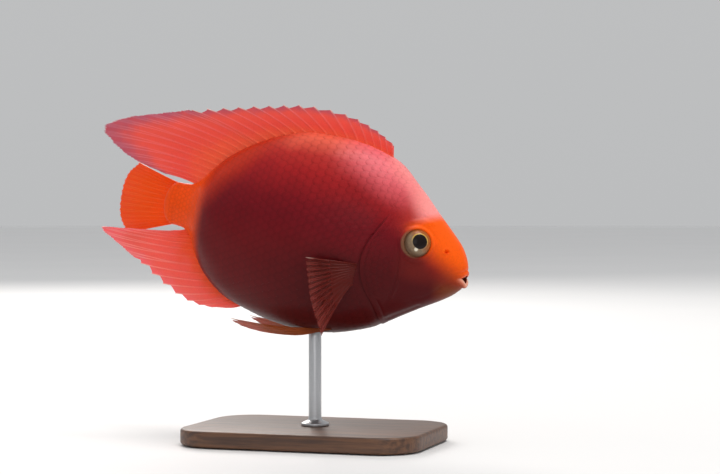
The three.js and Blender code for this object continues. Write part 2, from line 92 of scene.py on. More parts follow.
# %% Camera
AZIMUTH = math.radians(18)
ELEVATION = math.radians(1)
DISTANCE = 1.0
LENS = 100  # focal length in millimetres
FARTHEST_SEEN = 20
AIM_RIGHT = 0.0225  # the fish swims left of the picture's middle
AIM_DOWN = 0.0025


def add(operator, **settings):
    """Deselect everything, add an object with one of Blender's own operators, and return it."""
    bpy.ops.object.select_all(action="DESELECT")
    operator(**settings)
    return bpy.context.object


right = Vector((math.cos(AZIMUTH), math.sin(AZIMUTH), 0))
back = Vector((
    math.sin(AZIMUTH) * math.cos(ELEVATION),
    -math.cos(AZIMUTH) * math.cos(ELEVATION),
    math.sin(ELEVATION),
))
up = back.cross(right)
aim = BODY + AIM_RIGHT * right - AIM_DOWN * up
camera_turn = back.to_track_quat("Z", "Y").to_euler()
camera = add(bpy.ops.object.camera_add, location=aim + DISTANCE * back, rotation=camera_turn)
camera.data.lens = LENS
camera.data.clip_end = FARTHEST_SEEN
bpy.context.scene.camera = camera
print("camera at", tuple(round(v, 3) for v in camera.location))

# %% [markdown]
# ## Floor and light
# A plain pale floor shows the shape and gives nothing away to the colours. The light of an
# aquarium falls from above, so one large soft lamp hangs over the fish, a little in front of it,
# and only a weak one fills in from the camera's side. A lamp behind lets the fins glow. The room
# is brighter overhead than at the horizon, where it has the tone of the floor, so that floor and
# wall run into each other as in a photo studio. The Standard view shows each colour as it is
# painted; a filmic view would turn this crimson coat to rose.

# %% Floor
FLOOR_RADIUS = 9
FLOOR_DROP = 0.6 * MM  # keeps the floor clear of the underside of the base

floor = add(
    bpy.ops.mesh.primitive_circle_add, vertices=96, radius=FLOOR_RADIUS, fill_type="NGON",
    location=(0, 0, -FLOOR_DROP),
)
floor.name = "floor"
print("floor radius:", FLOOR_RADIUS, "m")


# %% Lamps
def lamp(name, place, size, watts, colour):
    """A square soft lamp that faces the fish."""
    turn = (Vector(place) - BODY).to_track_quat("Z", "Y").to_euler()
    made = add(bpy.ops.object.light_add, type="AREA", location=place, rotation=turn)
    made.name = name
    made.data.size = size
    made.data.energy = watts
    made.data.color = colour


lamp("lamp_above", (0.62, -0.11, 2.2), 1.1, 27.0, (1.0, 0.97, 0.93))
lamp("lamp_camera_side", (0.8, -2.9, 1.1), 1.4, 6.0, (1.0, 0.98, 0.97))
lamp("lamp_behind", (-0.9, 1.3, 1.0), 0.8, 13.0, (1.0, 0.95, 0.9))

# %% The pale room
HORIZON = (0.84, 0.85, 0.86, 1)
OVERHEAD = (1.0, 1.0, 1.0, 1)
ROOM_STRENGTH = 0.6

room = bpy.data.worlds.new("pale_room")
room.use_nodes = True
tree = room.node_tree
wall = tree.nodes["Background"]
direction = tree.nodes.new("ShaderNodeTexCoord")
height = tree.nodes.new("ShaderNodeSeparateXYZ")
sky = tree.nodes.new("ShaderNodeValToRGB")
for element, tone in zip(sky.color_ramp.elements, (HORIZON, OVERHEAD)):
    element.color = tone
tree.links.new(direction.outputs["Generated"], height.inputs[0])
tree.links.new(height.outputs[2], sky.inputs[0])
tree.links.new(sky.outputs[0], wall.inputs["Color"])
wall.inputs["Strength"].default_value = ROOM_STRENGTH
bpy.context.scene.world = room
bpy.context.scene.view_settings.view_transform = "Standard"
print("room nodes:", len(tree.nodes))

# %% [markdown]
# ## Sums on sockets
# A finish is a small calculation for every point of a surface. Written as nodes it takes pages, so
# two small classes turn Python sums into nodes: `Socket` is a number or colour on its way through
# the nodes, and `Finish` is the material that they live in. Every other node comes from
# `Finish.node`, which takes the node's type, its settings, and the values of its sockets.


# %% Sockets
class Socket:
    """The output of a node, which Python sums can use."""

    def __init__(self, finish, socket):
        self.finish = finish
        self.socket = socket

    def maths(self, operation, *values):
        return self.finish.node("Math", {"operation": operation}, dict(enumerate(values)))

    def __add__(self, other):
        return self.maths("ADD", self, other)

    def __sub__(self, other):
        return self.maths("SUBTRACT", self, other)

    def __rsub__(self, other):
        return self.maths("SUBTRACT", other, self)

    def __mul__(self, other):
        return self.maths("MULTIPLY", self, other)

    def __truediv__(self, other):
        return self.maths("DIVIDE", self, other)

    def __pow__(self, other):
        return self.maths("POWER", self, other)

    __radd__ = __add__
    __rmul__ = __mul__

    def root(self):
        return self.maths("SQRT", self)

    def smooth(self, low, high):
        """0 below low, 1 above high, and a smooth rise between; low may be the larger."""
        settings = {"interpolation_type": "SMOOTHSTEP"}
        return self.finish.node("MapRange", settings, {0: self, 1: low, 2: high, 3: 0.0, 4: 1.0})

    def axes(self):
        """The three numbers of a vector."""
        split = self.finish.node("SeparateXYZ", None, {0: self})
        return [Socket(self.finish, output) for output in split.socket.node.outputs]


# %% Finishes
class Finish:
    """A material whose nodes are written as sums."""

    def __init__(self, name):
        self.material = bpy.data.materials.new(name)
        self.material.use_nodes = True
        self.tree = self.material.node_tree
        self.tree.nodes.clear()

    def node(self, kind, settings=None, inputs=None, output=0):
        """A node of a kind; its settings come first, then the values or links of its sockets."""
        made = self.tree.nodes.new("ShaderNode" + kind)
        for key, value in (settings or {}).items():
            if key == "stops":
                self.set_stops(made.color_ramp, value)
            else:
                setattr(made, key, value)
        for key, value in (inputs or {}).items():
            if isinstance(value, Socket):
                self.tree.links.new(value.socket, made.inputs[key])
            else:
                made.inputs[key].default_value = value
        return Socket(self, made.outputs[output])

    def set_stops(self, ramp, stops):
        while len(ramp.elements) < len(stops):
            ramp.elements.new(0.5)
        for element, (place, colour) in zip(ramp.elements, stops):
            element.position = place
            element.color = colour

    def blend(self, share, first, second):
        """A colour between two colours."""
        inputs = {0: share, 6: first, 7: second}
        return self.node("Mix", {"data_type": "RGBA", "clamp_factor": True}, inputs, output=2)

    def shade(self, colour, factor):
        """A colour made darker or lighter by a number."""
        grey = self.node("CombineXYZ", None, {0: factor, 1: factor, 2: factor})
        settings = {"data_type": "RGBA", "blend_type": "MULTIPLY"}
        return self.node("Mix", settings, {0: 1.0, 6: colour, 7: grey}, output=2)

    def place_in(self, own_frame):
        """The point of the surface in a frame that is set by its place, turn and scale."""
        coordinates = self.node("TexCoord", None, None, output="Object")
        inputs = {"Vector": coordinates, **own_frame}
        return self.node("Mapping", {"vector_type": "TEXTURE"}, inputs)

    def fish_place(self):
        """The point of the surface on the level fish, in millimetres."""
        level_fish = {"Location": BODY, "Rotation": (0, NOSE_DOWN, 0), "Scale": (MM, MM, MM)}
        return self.place_in(level_fish)

    def stretch(self, place, factors):
        """A place squeezed along its axes, for a pattern that runs one way."""
        return self.node("VectorMath", {"operation": "MULTIPLY"}, {0: place, 1: factors})

    def noise(self, place, scale, detail=2.0, roughness=0.5):
        inputs = {"Vector": place, "Scale": scale, "Detail": detail, "Roughness": roughness}
        return self.node("TexNoise", None, inputs)

    def attribute(self, name):
        return self.node("Attribute", {"attribute_name": name}, None, output="Fac")

    def bump(self, height, distance, strength=1.0):
        return self.node("Bump", None, {"Height": height, "Distance": distance, "Strength": strength})

    def surface(self, shader):
        """The material, once its shader is known."""
        end = self.tree.nodes.new("ShaderNodeOutputMaterial")
        self.tree.links.new(shader.socket, end.inputs["Surface"])
        return self.material


def paint(red, green, blue):
    """A colour as a picture gives it, 0 to 255, in the linear light that nodes use."""
    values = [v / 255 for v in (red, green, blue)]
    linear = [v / 12.92 if v <= 0.04045 else ((v + 0.055) / 1.055) ** 2.4 for v in values]
    return (*linear, 1.0)


print("crimson in linear light:", [round(v, 3) for v in paint(106, 13, 20)])

# %% Finish of the floor
pale = Finish("pale_floor")
pale_tone = pale.noise(pale.place_in({}), 3.0)
floor.data.materials.append(pale.surface(pale.node("BsdfPrincipled", None, {
    "Base Color": pale.blend(pale_tone, paint(230, 231, 232), paint(236, 236, 237)),
    "Roughness": 0.7,
})))
print("floor finish:", floor.data.materials[0].name)

# %% [markdown]
# ## The form of the body
# The body is a row of closed sections from the snout to the end of the tail stalk, each with its
# own back, belly, width and widest level. A smooth curve runs through the rows of the table. A
# pure ellipse looks like an egg, so the backs are a little slimmer and the bellies a little
# fuller, by an exponent that returns to a true ellipse where the curve turns over.

# %% Body sections
STATIONS = [  # x, back, belly, half the width, widest level
    (81.2, -3.4, -9.6, 1.7, -6.4),
    (80.4, -0.2, -11.4, 4.1, -6.3),
    (78.6, 3.9, -13.6, 6.6, -5.8),
    (75.2, 8.7, -16.9, 9.5, -4.8),
    (69.0, 14.6, -21.2, 12.8, -3.0),
    (60.4, 22.3, -26.4, 16.6, -0.5),
    (49.6, 32.4, -33.4, 21.0, 1.0),
    (37.0, 42.6, -41.3, 25.4, 1.0),
    (22.0, 47.3, -46.6, 28.7, 0.5),
    (5.0, 49.3, -49.3, 30.2, 0),
    (-12.0, 48.4, -48.6, 29.5, 0),
    (-28.0, 43.6, -45.7, 27.2, 0),
    (-42.0, 36.4, -41.6, 24.4, 0),
    (-53.0, 28.6, -34.6, 20.6, 0),
    (-61.0, 20.8, -25.8, 14.8, 0),
    (-66.5, 14.6, -17.6, 9.0, -0.6),
    (-72.0, 11.0, -13.0, 6.2, -1.0),
    (-80.0, 10.0, -12.0, 4.6, -1.0),
]
BACK_SLIMMER = 0.15
BELLY_FULLER = 0.15
SWAY_START = 10  # the body bends to its left from here back
SWAY = 0.0011


def spline(rows, place):
    """A smooth curve through rows of numbers, one unit of place from row to row."""
    rows = np.asarray(rows, float)
    ends = np.vstack((2 * rows[0] - rows[1], rows, 2 * rows[-1] - rows[-2]))
    place = np.clip(np.asarray(place, float), 0, len(rows) - 1)
    low = np.minimum(place.astype(int), len(rows) - 2)
    share = (place - low)[..., None]
    a, b, c, d = (ends[low + step] for step in range(4))
    bends = 2 * a - 5 * b + 4 * c - d + share * (3 * b - 3 * c + d - a)
    return b + 0.5 * share * (c - a + share * bends)


def sway(x):
    """How far the middle of the body lies to the left."""
    return SWAY * np.maximum(0, SWAY_START - x) ** 2


def signed_power(value, power):
    return np.sign(value) * np.abs(value) ** power


def body_surface(place, angle):
    """The body at a place along the stations and an angle: 0 left, 90 degrees up, 180 right."""
    x, top, bottom, half, widest = np.moveaxis(spline(STATIONS, place), -1, 0)
    rises = np.sin(angle) > 0
    turning = 1 - np.abs(np.cos(2 * angle)) ** 3
    exponent = 2 + np.where(rises, -BACK_SLIMMER, BELLY_FULLER) * turning
    reach = np.where(rises, top - widest, widest - bottom)
    y = sway(x) + half * signed_power(np.cos(angle), 2 / exponent)
    return np.stack((x, y, widest + reach * signed_power(np.sin(angle), 2 / exponent)), -1)


print("body from x", STATIONS[0][0], "to", STATIONS[-1][0], "mm")

# %% Points on the body
FINE_STEPS = 3400
FINE_PLACES = np.linspace(0, len(STATIONS) - 1, FINE_STEPS + 1)
FINE_STATIONS = spline(STATIONS, FINE_PLACES)
NORMAL_STEP = 0.5  # a normal is measured this far to each side


def place_at_x(x):
    return np.interp(-np.asarray(x, float), -FINE_STATIONS[:, 0], FINE_PLACES)


def section_at_x(x):
    return spline(STATIONS, place_at_x(x))


def flank_point(x, z, side):
    """The skin of one flank over a place in side view. Side is 1 on the left, -1 on the right."""
    _, top, bottom, half, widest = section_at_x(x)
    rises = z > widest
    share = min(1, abs(z - widest) / (top - widest if rises else widest - bottom))
    exponent = 2 - BACK_SLIMMER if rises else 2 + BELLY_FULLER
    return np.array((x, sway(x) + side * half * (1 - share**exponent) ** (1 / exponent), z))


def flank_normal(x, z, side):
    """The way that the flank faces there."""
    along = flank_point(x + NORMAL_STEP, z, side) - flank_point(x - NORMAL_STEP, z, side)
    across = flank_point(x, z + NORMAL_STEP, side) - flank_point(x, z - NORMAL_STEP, side)
    normal = np.cross(along, across) * (-1 if side > 0 else 1)
    return normal / np.linalg.norm(normal)


print("right flank at its middle:", flank_point(0, 0, -1).round(1))

# %% [markdown]
# ## One skin from lip to tail
# The flesh of the fish is one skin: a ball whose poles lie in the throat and at the end of the
# tail stalk. Its rings could be plain slices, but slices would cut across the lips. Near the mouth
# the rings are flat ellipses round the slit instead, as ripples run round a stick in water, and
# they grow into round slices at the cheeks. Further back they bend along the edge of the gill
# cover, so that this edge is a crisp step and not a row of teeth.

# %% Rings round the mouth
SEGMENTS = 320
MOUTH_HALF = 7.4  # half the length of the slit, as the half width of the body at its corner
SLIT_DIP = 0.8  # the slit lies this far under the widest level
CORNER_DIP = 0.8  # and its corners this much lower still
DIP_FADE = 6  # the dip has faded to a third at this distance from the slit
GAP_OPEN = 1.25
GAP_END = 5.4  # half width at which the open part of the mouth ends
GAP_POINTED = 1.3  # above 1, so that the gap runs out to points at its ends
GAP_FADE = 3
LIPS_APART = 0.05  # the slit is a hair open all along, so that the lips don't touch
TIP_HOLLOW = 0.2  # the middle of the snout lies this far behind its rim

turns = np.arange(SEGMENTS) * 2 * np.pi / SEGMENTS
WIDEST_ROW = FINE_STATIONS[:, 3].argmax()
GROWING_X = FINE_STATIONS[:WIDEST_ROW, 0]
GROWING_HALF = FINE_STATIONS[:WIDEST_ROW, 3]


def place_at_half(half):
    return np.interp(half, GROWING_HALF, FINE_PLACES[:WIDEST_ROW])


def mouth_ring(across, down):
    """A ring round the slit of the mouth, from its reach sideways and up and down."""
    sideways = across * np.cos(turns)
    upward = down * np.sin(turns)
    outward = np.minimum(np.abs(sideways) / MOUTH_HALF, 1)
    upward -= (SLIT_DIP + CORNER_DIP * outward**4) * math.exp(-down / DIP_FADE)
    gap = GAP_OPEN * np.maximum(0, 1 - (sideways / GAP_END) ** 2) ** GAP_POINTED
    gap += LIPS_APART * np.sqrt(1 - outward**2)
    upward += np.sign(np.round(np.sin(turns), 9)) * gap * math.exp(-down / GAP_FADE)
    half = np.hypot(sideways, upward)
    ring = body_surface(place_at_half(half), np.arctan2(upward, sideways))
    snout_x, _, _, snout_half, snout_z = STATIONS[0]
    inward = np.minimum(half / snout_half, 1)[:, None]
    tip = np.array((snout_x - TIP_HOLLOW, 0, snout_z))
    flat = tip + (ring - tip) * inward
    flat[:, 0] = tip[0] + TIP_HOLLOW * inward[:, 0] ** 2
    return np.where(inward < 1, flat, ring)


print("one ring round the mouth:", mouth_ring(MOUTH_HALF, 0).shape)

# %% Rings along the gill cover
ROUND_FROM = 20.0  # the half width at which the rings have become slices
SEAM_REAR, SEAM_FRONT, SEAM_HEIGHT, SEAM_REACH = 34.2, 43.5, -7.0, 30.0  # edge of the gill cover
WARP_END = -24.0  # behind this the rings are plain slices again
LEVEL_X = 40.0  # the section that gives each segment its height

round_x = float(np.interp(ROUND_FROM, GROWING_HALF, GROWING_X))
level = body_surface(place_at_x(np.full(SEGMENTS, LEVEL_X)), turns)[:, 2]


def smooth_step(value, low, high):
    share = np.clip((value - low) / (high - low), 0, 1)
    return share * share * (3 - 2 * share)


def seam_x(z):
    """Where the edge of the gill cover runs, at a height."""
    share = np.clip(np.abs(z - SEAM_HEIGHT) / SEAM_REACH, 0, 1)
    return SEAM_REAR + (SEAM_FRONT - SEAM_REAR) * (1 - np.cos(np.pi * share)) / 2


def slice_ring(x):
    """A slice of the body, bent along the edge of the gill cover where it is near."""
    bend = smooth_step(x, round_x if x > SEAM_FRONT else WARP_END, SEAM_FRONT)
    return body_surface(place_at_x(x + bend * (seam_x(level) - SEAM_FRONT)), turns)


print("slices from x", round(round_x, 1), "back")

# %% Rings from the throat to the lips
THROAT = np.array((66.0, 0.0, -8.5))
LINING = [  # rings inside the mouth: how far towards the throat, and how wide open
    (1.0, 0.0), (0.85, 1.2), (0.65, 1.7), (0.45, 1.8), (0.3, 1.7), (0.18, 1.45), (0.1, 1.2),
    (0.05, 1.0), (0.02, 0.93),
]
LIP_RINGS = 96
CROWDING = 1.25  # the rings stand closer at the lips
ROUNDING_FROM = 4.0  # the ellipses grow rounder from this distance to where they are slices

downs = ROUND_FROM * (np.arange(LIP_RINGS + 1) / LIP_RINGS) ** CROWDING
acrosses = np.sqrt(downs**2 + MOUTH_HALF**2 * (1 - smooth_step(downs, ROUNDING_FROM, ROUND_FROM)))
front_rings = [mouth_ring(across, down) for across, down in zip(acrosses, downs)]
lips = front_rings[0]
slit = (lips + lips[-np.arange(SEGMENTS)]) / 2
lining = [slit + (THROAT - slit) * deep + (lips - slit) * wide for deep, wide in LINING]
print("rings in the mouth and round it:", len(lining), len(front_rings))

# %% Rings from the cheeks to the tail stalk
CHEEK_RINGS, GILL_RINGS, FLANK_RINGS, STALK_RINGS = 35, 35, 81, 24
SEAM_STEP = 0.12  # the short way over which the gill cover's edge drops
FLANK_START, FLANK_END, STALK_END = 26, -60, -80.0


def run(first, last, count):
    """Places from the one after first up to last."""
    return np.linspace(first, last, count + 1)[1:]


slices = np.concatenate((
    run(round_x, SEAM_FRONT, CHEEK_RINGS),
    [SEAM_FRONT - SEAM_STEP],
    run(SEAM_FRONT - SEAM_STEP, FLANK_START, GILL_RINGS),
    run(FLANK_START, FLANK_END, FLANK_RINGS),
    run(FLANK_END, STALK_END, STALK_RINGS),
))
body_rings = [slice_ring(x) for x in slices]
print("rings of the body:", len(body_rings))

# %% Cap of the tail stalk, and all rings
CAP_RINGS = 10
CAP_LENGTH = 6.5
CAP_EDGE = 0.35  # its upper and lower edges reach this share of its length
CAP_ROUNDNESS = 0.8
CAP_LOWER = 0.14  # share of its height that it loses

stalk = body_rings[-1]
stalk_middle = stalk.mean(0)
stalk_height = np.abs(stalk[:, 2] - stalk_middle[2])
bulge = np.sqrt(1 - (stalk_height / (stalk_height.max() + 0.01)) ** 2)
cap = []
for step in run(0, np.pi / 2, CAP_RINGS):
    shrink = np.array((1, max(0.0, math.cos(step)) ** CAP_ROUNDNESS, 1 - CAP_LOWER * math.sin(step) ** 2))
    ring = stalk_middle + (stalk - stalk_middle) * shrink
    ring[:, 0] -= CAP_LENGTH * math.sin(step) * (CAP_EDGE + (1 - CAP_EDGE) * bulge)
    cap.append(ring)
cap[-1][:] = cap[-1].mean(0)
base_grid = np.array(lining + front_rings + body_rings + cap)
EDGE_RING = len(lining)
SEAM_RING = EDGE_RING + len(front_rings) + CHEEK_RINGS - 1
print("rings:", len(base_grid), "seam ring at", base_grid[SEAM_RING, 0].round(2))

# %% [markdown]
# ## What makes it a face
# The bare ball has the outline of a fish and no features. A sculptor would now push and pull clay.
# Here each feature is a small height added along the way the skin faces: rolled lips, the pits of
# the nostrils, a socket with a raised rim round each eye, the plates of the cheek, and the step at
# the gill opening. Heights are written as smooth ridges and pits of a distance, so that nothing is
# sharp by accident.


# %% Ridges and pits
def hump(distance, width):
    """1 at no distance, fading over the width."""
    return np.exp(-((distance / width) ** 2))


def ridge(distance, height, width, at=0.0):
    """A ridge where a distance has a given value, or a groove where the height is below 0."""
    return height * hump(distance - at, width)


def pit(distance, depth, rim, foot):
    return -depth * smooth_step(distance, rim, foot)


def walked(grid):
    """How far each point is from the first ring, along its own segment."""
    return np.cumsum(np.linalg.norm(np.diff(grid, axis=0, prepend=grid[:1]), axis=-1), axis=0)


def grid_normals(grid):
    along = np.gradient(grid, axis=0)
    round_it = np.roll(grid, -1, 1) - np.roll(grid, 1, 1)
    normals = np.cross(along, round_it)
    return normals / np.maximum(np.linalg.norm(normals, axis=-1, keepdims=True), 1e-9)


RING_NUMBERS = np.arange(len(base_grid))
ring_number = RING_NUMBERS[:, None]
skin_x, skin_y, skin_z = np.moveaxis(base_grid, -1, 0)
outside = ring_number >= EDGE_RING
flank = smooth_step(np.abs(skin_y - sway(skin_x)), 2.0, 5.0)  # 0 along the back and the belly
heights = np.zeros(base_grid.shape[:2])
print("points of the skin:", heights.size)

# %% Lips and nostrils
LIP_WIDTH = 2.3
UPPER_LIP, LOWER_LIP = 0.42, 0.62
NOSTRIL_X, NOSTRIL_Z = 71.5, 4.6

from_lip = np.zeros(heights.shape)
from_lip[EDGE_RING:] = walked(base_grid[EDGE_RING:])
from_middle = np.abs(np.cos(turns))[None]  # 0 in the middle of the mouth and 1 at its corners
mouth_front = smooth_step(from_middle, 0.97, 0.6)
lower_half = (np.sin(turns) < 0)[None]
lip_size = 0.3 * smooth_step(from_middle, 1, 0.94) + 0.7 * mouth_front
lip_roll = np.sin(np.pi * np.clip(from_lip / LIP_WIDTH, 0, 1)) ** 0.9
heights += np.where(lower_half, LOWER_LIP, UPPER_LIP) * lip_size * lip_roll
heights += mouth_front * ridge(from_lip, height=-0.26, width=0.6, at=3.0)
heights += mouth_front * lower_half * ridge(from_lip, height=0.6, width=1.6, at=0.9)

nostril = np.hypot(skin_x - NOSTRIL_X, skin_z - NOSTRIL_Z)
heights += flank * ridge(nostril, height=0.25, width=0.45, at=1.3)
heights += flank * pit(nostril, depth=1.5, rim=1.05, foot=0.45)
print("lips stand", heights.max().round(2), "mm proud")

# %% Eye sockets
EYE_X, EYE_Z = 58.3, 6.4
EYE_RADIUS, EYE_BULGE = 7.1, 5.0  # across and along the way it looks
EYE_SUNK = 2.2  # depth of its middle under the flank

eye_distance = np.min([
    np.linalg.norm(base_grid - flank_point(EYE_X, EYE_Z, side), axis=-1) for side in (-1, 1)
], axis=0)
heights += ridge(eye_distance, height=0.62, width=0.85, at=7.35)
heights += ridge(eye_distance, height=-0.3, width=0.8, at=9.3)
heights += pit(eye_distance, depth=1.2, rim=7.3, foot=5.6)
heights += pit(eye_distance, depth=3.0, rim=5.6, foot=4.0)
print("sockets reach", -heights.min().round(2), "mm deep")

# %% Cheek, brow and creases
CHEEK = (56.5, -9.5, 6.5, 7.5)  # middle in side view, half its length and half its height
CHEEK_SWELL = 0.5
FACE_LINES = [  # points in side view, height (below 0 for a groove) and width
    ([(53.2, 15.6), (57.2, 17.4), (62.2, 16.4)], 0.35, 0.9),  # brow
    ([(53.7, 17.6), (57.7, 19.2), (62.2, 18.2)], -0.2, 0.7),  # fold over the brow
    ([(75.4, -7.6), (73.2, -10.4), (71.0, -14.0)], -0.24, 0.95),  # corner of the mouth
    ([(71.0, -14.0), (68.4, -16.4), (64.2, -19.6), (58.5, -22.0)], -0.2, 0.95),  # foot of the cheek
    ([(76.6, -3.0), (74.0, -5.4), (72.4, -8.8)], -0.14, 0.8),  # fold of the upper jaw
    ([(61.5, -24.6), (54.0, -29.4), (46.5, -34.2)], -0.3, 0.8),  # edge under the throat
]


def line_distance(points):
    """Distance of the skin, in side view, from a line through some points."""
    nearest = np.full(skin_x.shape, np.inf)
    for (ax, az), (bx, bz) in zip(points, points[1:]):
        length = (bx - ax) ** 2 + (bz - az) ** 2
        share = np.clip(((skin_x - ax) * (bx - ax) + (skin_z - az) * (bz - az)) / length, 0, 1)
        distance = np.hypot(skin_x - ax - share * (bx - ax), skin_z - az - share * (bz - az))
        nearest = np.minimum(nearest, distance)
    return nearest


def oval_distance(x, z, oval):
    """Distance from the middle of an oval, whose edge is at 1."""
    middle_x, middle_z, half_length, half_height = oval
    return np.hypot((x - middle_x) / half_length, (z - middle_z) / half_height)


for points, height, width in FACE_LINES:
    heights += flank * ridge(line_distance(points), height, width)
heights += flank * ridge(oval_distance(skin_x, skin_z, CHEEK), CHEEK_SWELL, width=1.0)
print("lines of the face:", len(FACE_LINES))

# %% Gill covers
COVER_X, COVER_LENGTH = 38.0, 14.0
COVER = (COVER_X, -7.0, COVER_LENGTH, 25.0)
COVER_RISE = 0.95  # the rear edge stands up to this far off the flank
COVER_LINE = 2.6  # a fine groove runs this far ahead of the edge
GROOVE_DEPTH = 0.45
GROOVE_LENGTH = 1.6

edge_x = seam_x(level)
on_cover = smooth_step(level, 20, 13) * (0.3 + 0.7 * smooth_step(level, -44, -34))
cover = oval_distance(skin_x, skin_z, COVER)
plate = flank * smooth_step(skin_x, 34, 40) * smooth_step(level, 16, 8) * smooth_step(level, -30, -22)
heights += plate * ridge(cover, height=0.4, width=0.035, at=1.045)
heights += plate * ridge(cover, height=-0.34, width=0.03, at=0.965)
ahead = ring_number <= SEAM_RING
rise = COVER_RISE * np.clip((COVER_X + COVER_LENGTH - skin_x) / COVER_LENGTH, 0, 1)
fine_groove = ridge(skin_x - edge_x, height=-0.25, width=0.5, at=COVER_LINE)
behind_seam = np.maximum(edge_x - skin_x, 0)
step_down = -GROOVE_DEPTH * np.exp(-behind_seam / GROOVE_LENGTH)
heights += on_cover * np.where(ahead, rise + fine_groove, step_down)
print("gill cover edge from x", edge_x.min().round(1), "to", edge_x.max().round(1))

# %% Bed of the scales, and the finished grid
COAT_DEPTH = 0.2  # the skin lies this much deeper where scales cover it
COAT_WAVES = 0.12  # no flank is perfectly even

coated = smooth_step(skin_x, 54, 46)
waves = np.sin(skin_x / 5.5 + 2 * np.sin(turns * 3)[None]) * np.sin(turns * 9)[None]
heights += (COAT_WAVES * waves - COAT_DEPTH) * coated
heights *= outside * (ring_number < len(base_grid) - CAP_RINGS)
skin_grid = base_grid + grid_normals(base_grid) * heights[..., None]
skin_normals = grid_normals(skin_grid)
print("heights from", heights.min().round(2), "to", heights.max().round(2), "mm")

# %% [markdown]
# ## The skin as a mesh
# Blender's own ball has exactly the right net of faces: rings and segments, closed at both poles,
# facing outwards. Each of its points finds its ring and segment from where it lies on the unit
# ball, and then takes its place in the grid worked out above. The mouth and the gill opening also
# leave notes on the points, as attributes that the finish reads later.


# %% Points and notes of a mesh
def set_points(mesh, points):
    mesh.vertices.foreach_set("co", np.ascontiguousarray(points, dtype=np.float32).ravel())
    mesh.update()


def get_points(mesh):
    points = np.empty(len(mesh.vertices) * 3, np.float32)
    mesh.vertices.foreach_get("co", points)
    return points.reshape(-1, 3).astype(float)


def note(mesh, name, values):
    """Keep a number for each point, for the finish to read."""
    layer = mesh.attributes.new(name, "FLOAT", "POINT")
    layer.data.foreach_set("value", np.ascontiguousarray(values, dtype=np.float32).ravel())


# %% Build the skin
skin = add(
    bpy.ops.mesh.primitive_uv_sphere_add, segments=SEGMENTS, ring_count=len(base_grid) - 1, radius=1,
)
ball = get_points(skin.data)
ball_ring = np.arccos(np.clip(ball[:, 2], -1, 1)) / np.pi * (len(base_grid) - 1)
ball_ring = np.round(ball_ring).astype(int)
ball_turn = np.arctan2(ball[:, 1], ball[:, 0]) / (2 * np.pi)
ball_segment = np.round(ball_turn * SEGMENTS).astype(int) % SEGMENTS
set_points(skin.data, to_model(skin_grid[ball_ring, ball_segment]))

lip = hump(from_lip, 1.25) * mouth_front * outside
# The groove behind the gill cover, noted for the painted shade in it.
groove = np.where(ahead, 0, on_cover * np.exp(-behind_seam / 0.9)) * outside
for name, values in (
    ("upper_lip", lip * ~lower_half),
    ("lower_lip", lip * lower_half),
    ("inside_mouth", np.broadcast_to(~outside, lip.shape)),
    ("gill_groove", groove),
):
    note(skin.data, name, values[ball_ring, ball_segment])
bpy.ops.object.shade_smooth()
print("skin points:", len(skin.data.vertices))

# %% [markdown]
# ## Colour of the skin
# The colours lie in zones that follow the body: crimson flanks that darken to the belly, partly
# their own colour and partly painted shade of the light from above, a rose back, nape and forehead
# that are partly painted highlight, an orange face from the forehead to the cheeks with painted
# shade low on the snout, an olive and brown jaw, and orange round the tail. The zones are soft masks
# of the place on the level fish, so the skin and the scales, which both read the same place, always
# agree. The two numbers of each `smooth` are the millimetres where a zone begins and where it is
# complete, and a low noise sways the borders.

# %% Skin colours
# Own crimson from belly to back, darkened low by painted shade and lightened along the rim of the back by
# a painted highlight.
FLANK_COLOURS_AND_PAINTED_LIGHT = [  # height on the level fish and the colour there, belly to back
    (-47, paint(90, 26, 23)),
    (-32, paint(96, 16, 19)),
    (-8, paint(106, 13, 20)),
    (8, paint(111, 13, 24)),
    (16, paint(120, 15, 25)),
    (30, paint(160, 28, 31)),
    (38, paint(180, 42, 38)),
    (47, paint(226, 92, 70)),
]
FLANK_REACH = 50
REAR_RED = paint(188, 44, 16)
# The muzzle red is the snout's own red with painted shade where the snout turns down.
MUZZLE_RED_AND_SHADE = paint(158, 34, 22)
# The nape and forehead pinks are partly the fish's own rose and partly a painted highlight of the light
# from above.
NAPE_PINK_AND_HIGHLIGHT = paint(236, 108, 118)
FOREHEAD_PINK_AND_HIGHLIGHT = paint(255, 152, 148)
FACE_ORANGE = paint(255, 94, 6)
BROW_RED = paint(186, 52, 42)
CHEEK_RED = paint(108, 24, 20)
JAW_BROWN = paint(134, 44, 20)
JAW_OLIVE = paint(112, 58, 26)
TAIL_ORANGE = paint(246, 80, 10)
EYE_TAUPE = paint(124, 92, 66)


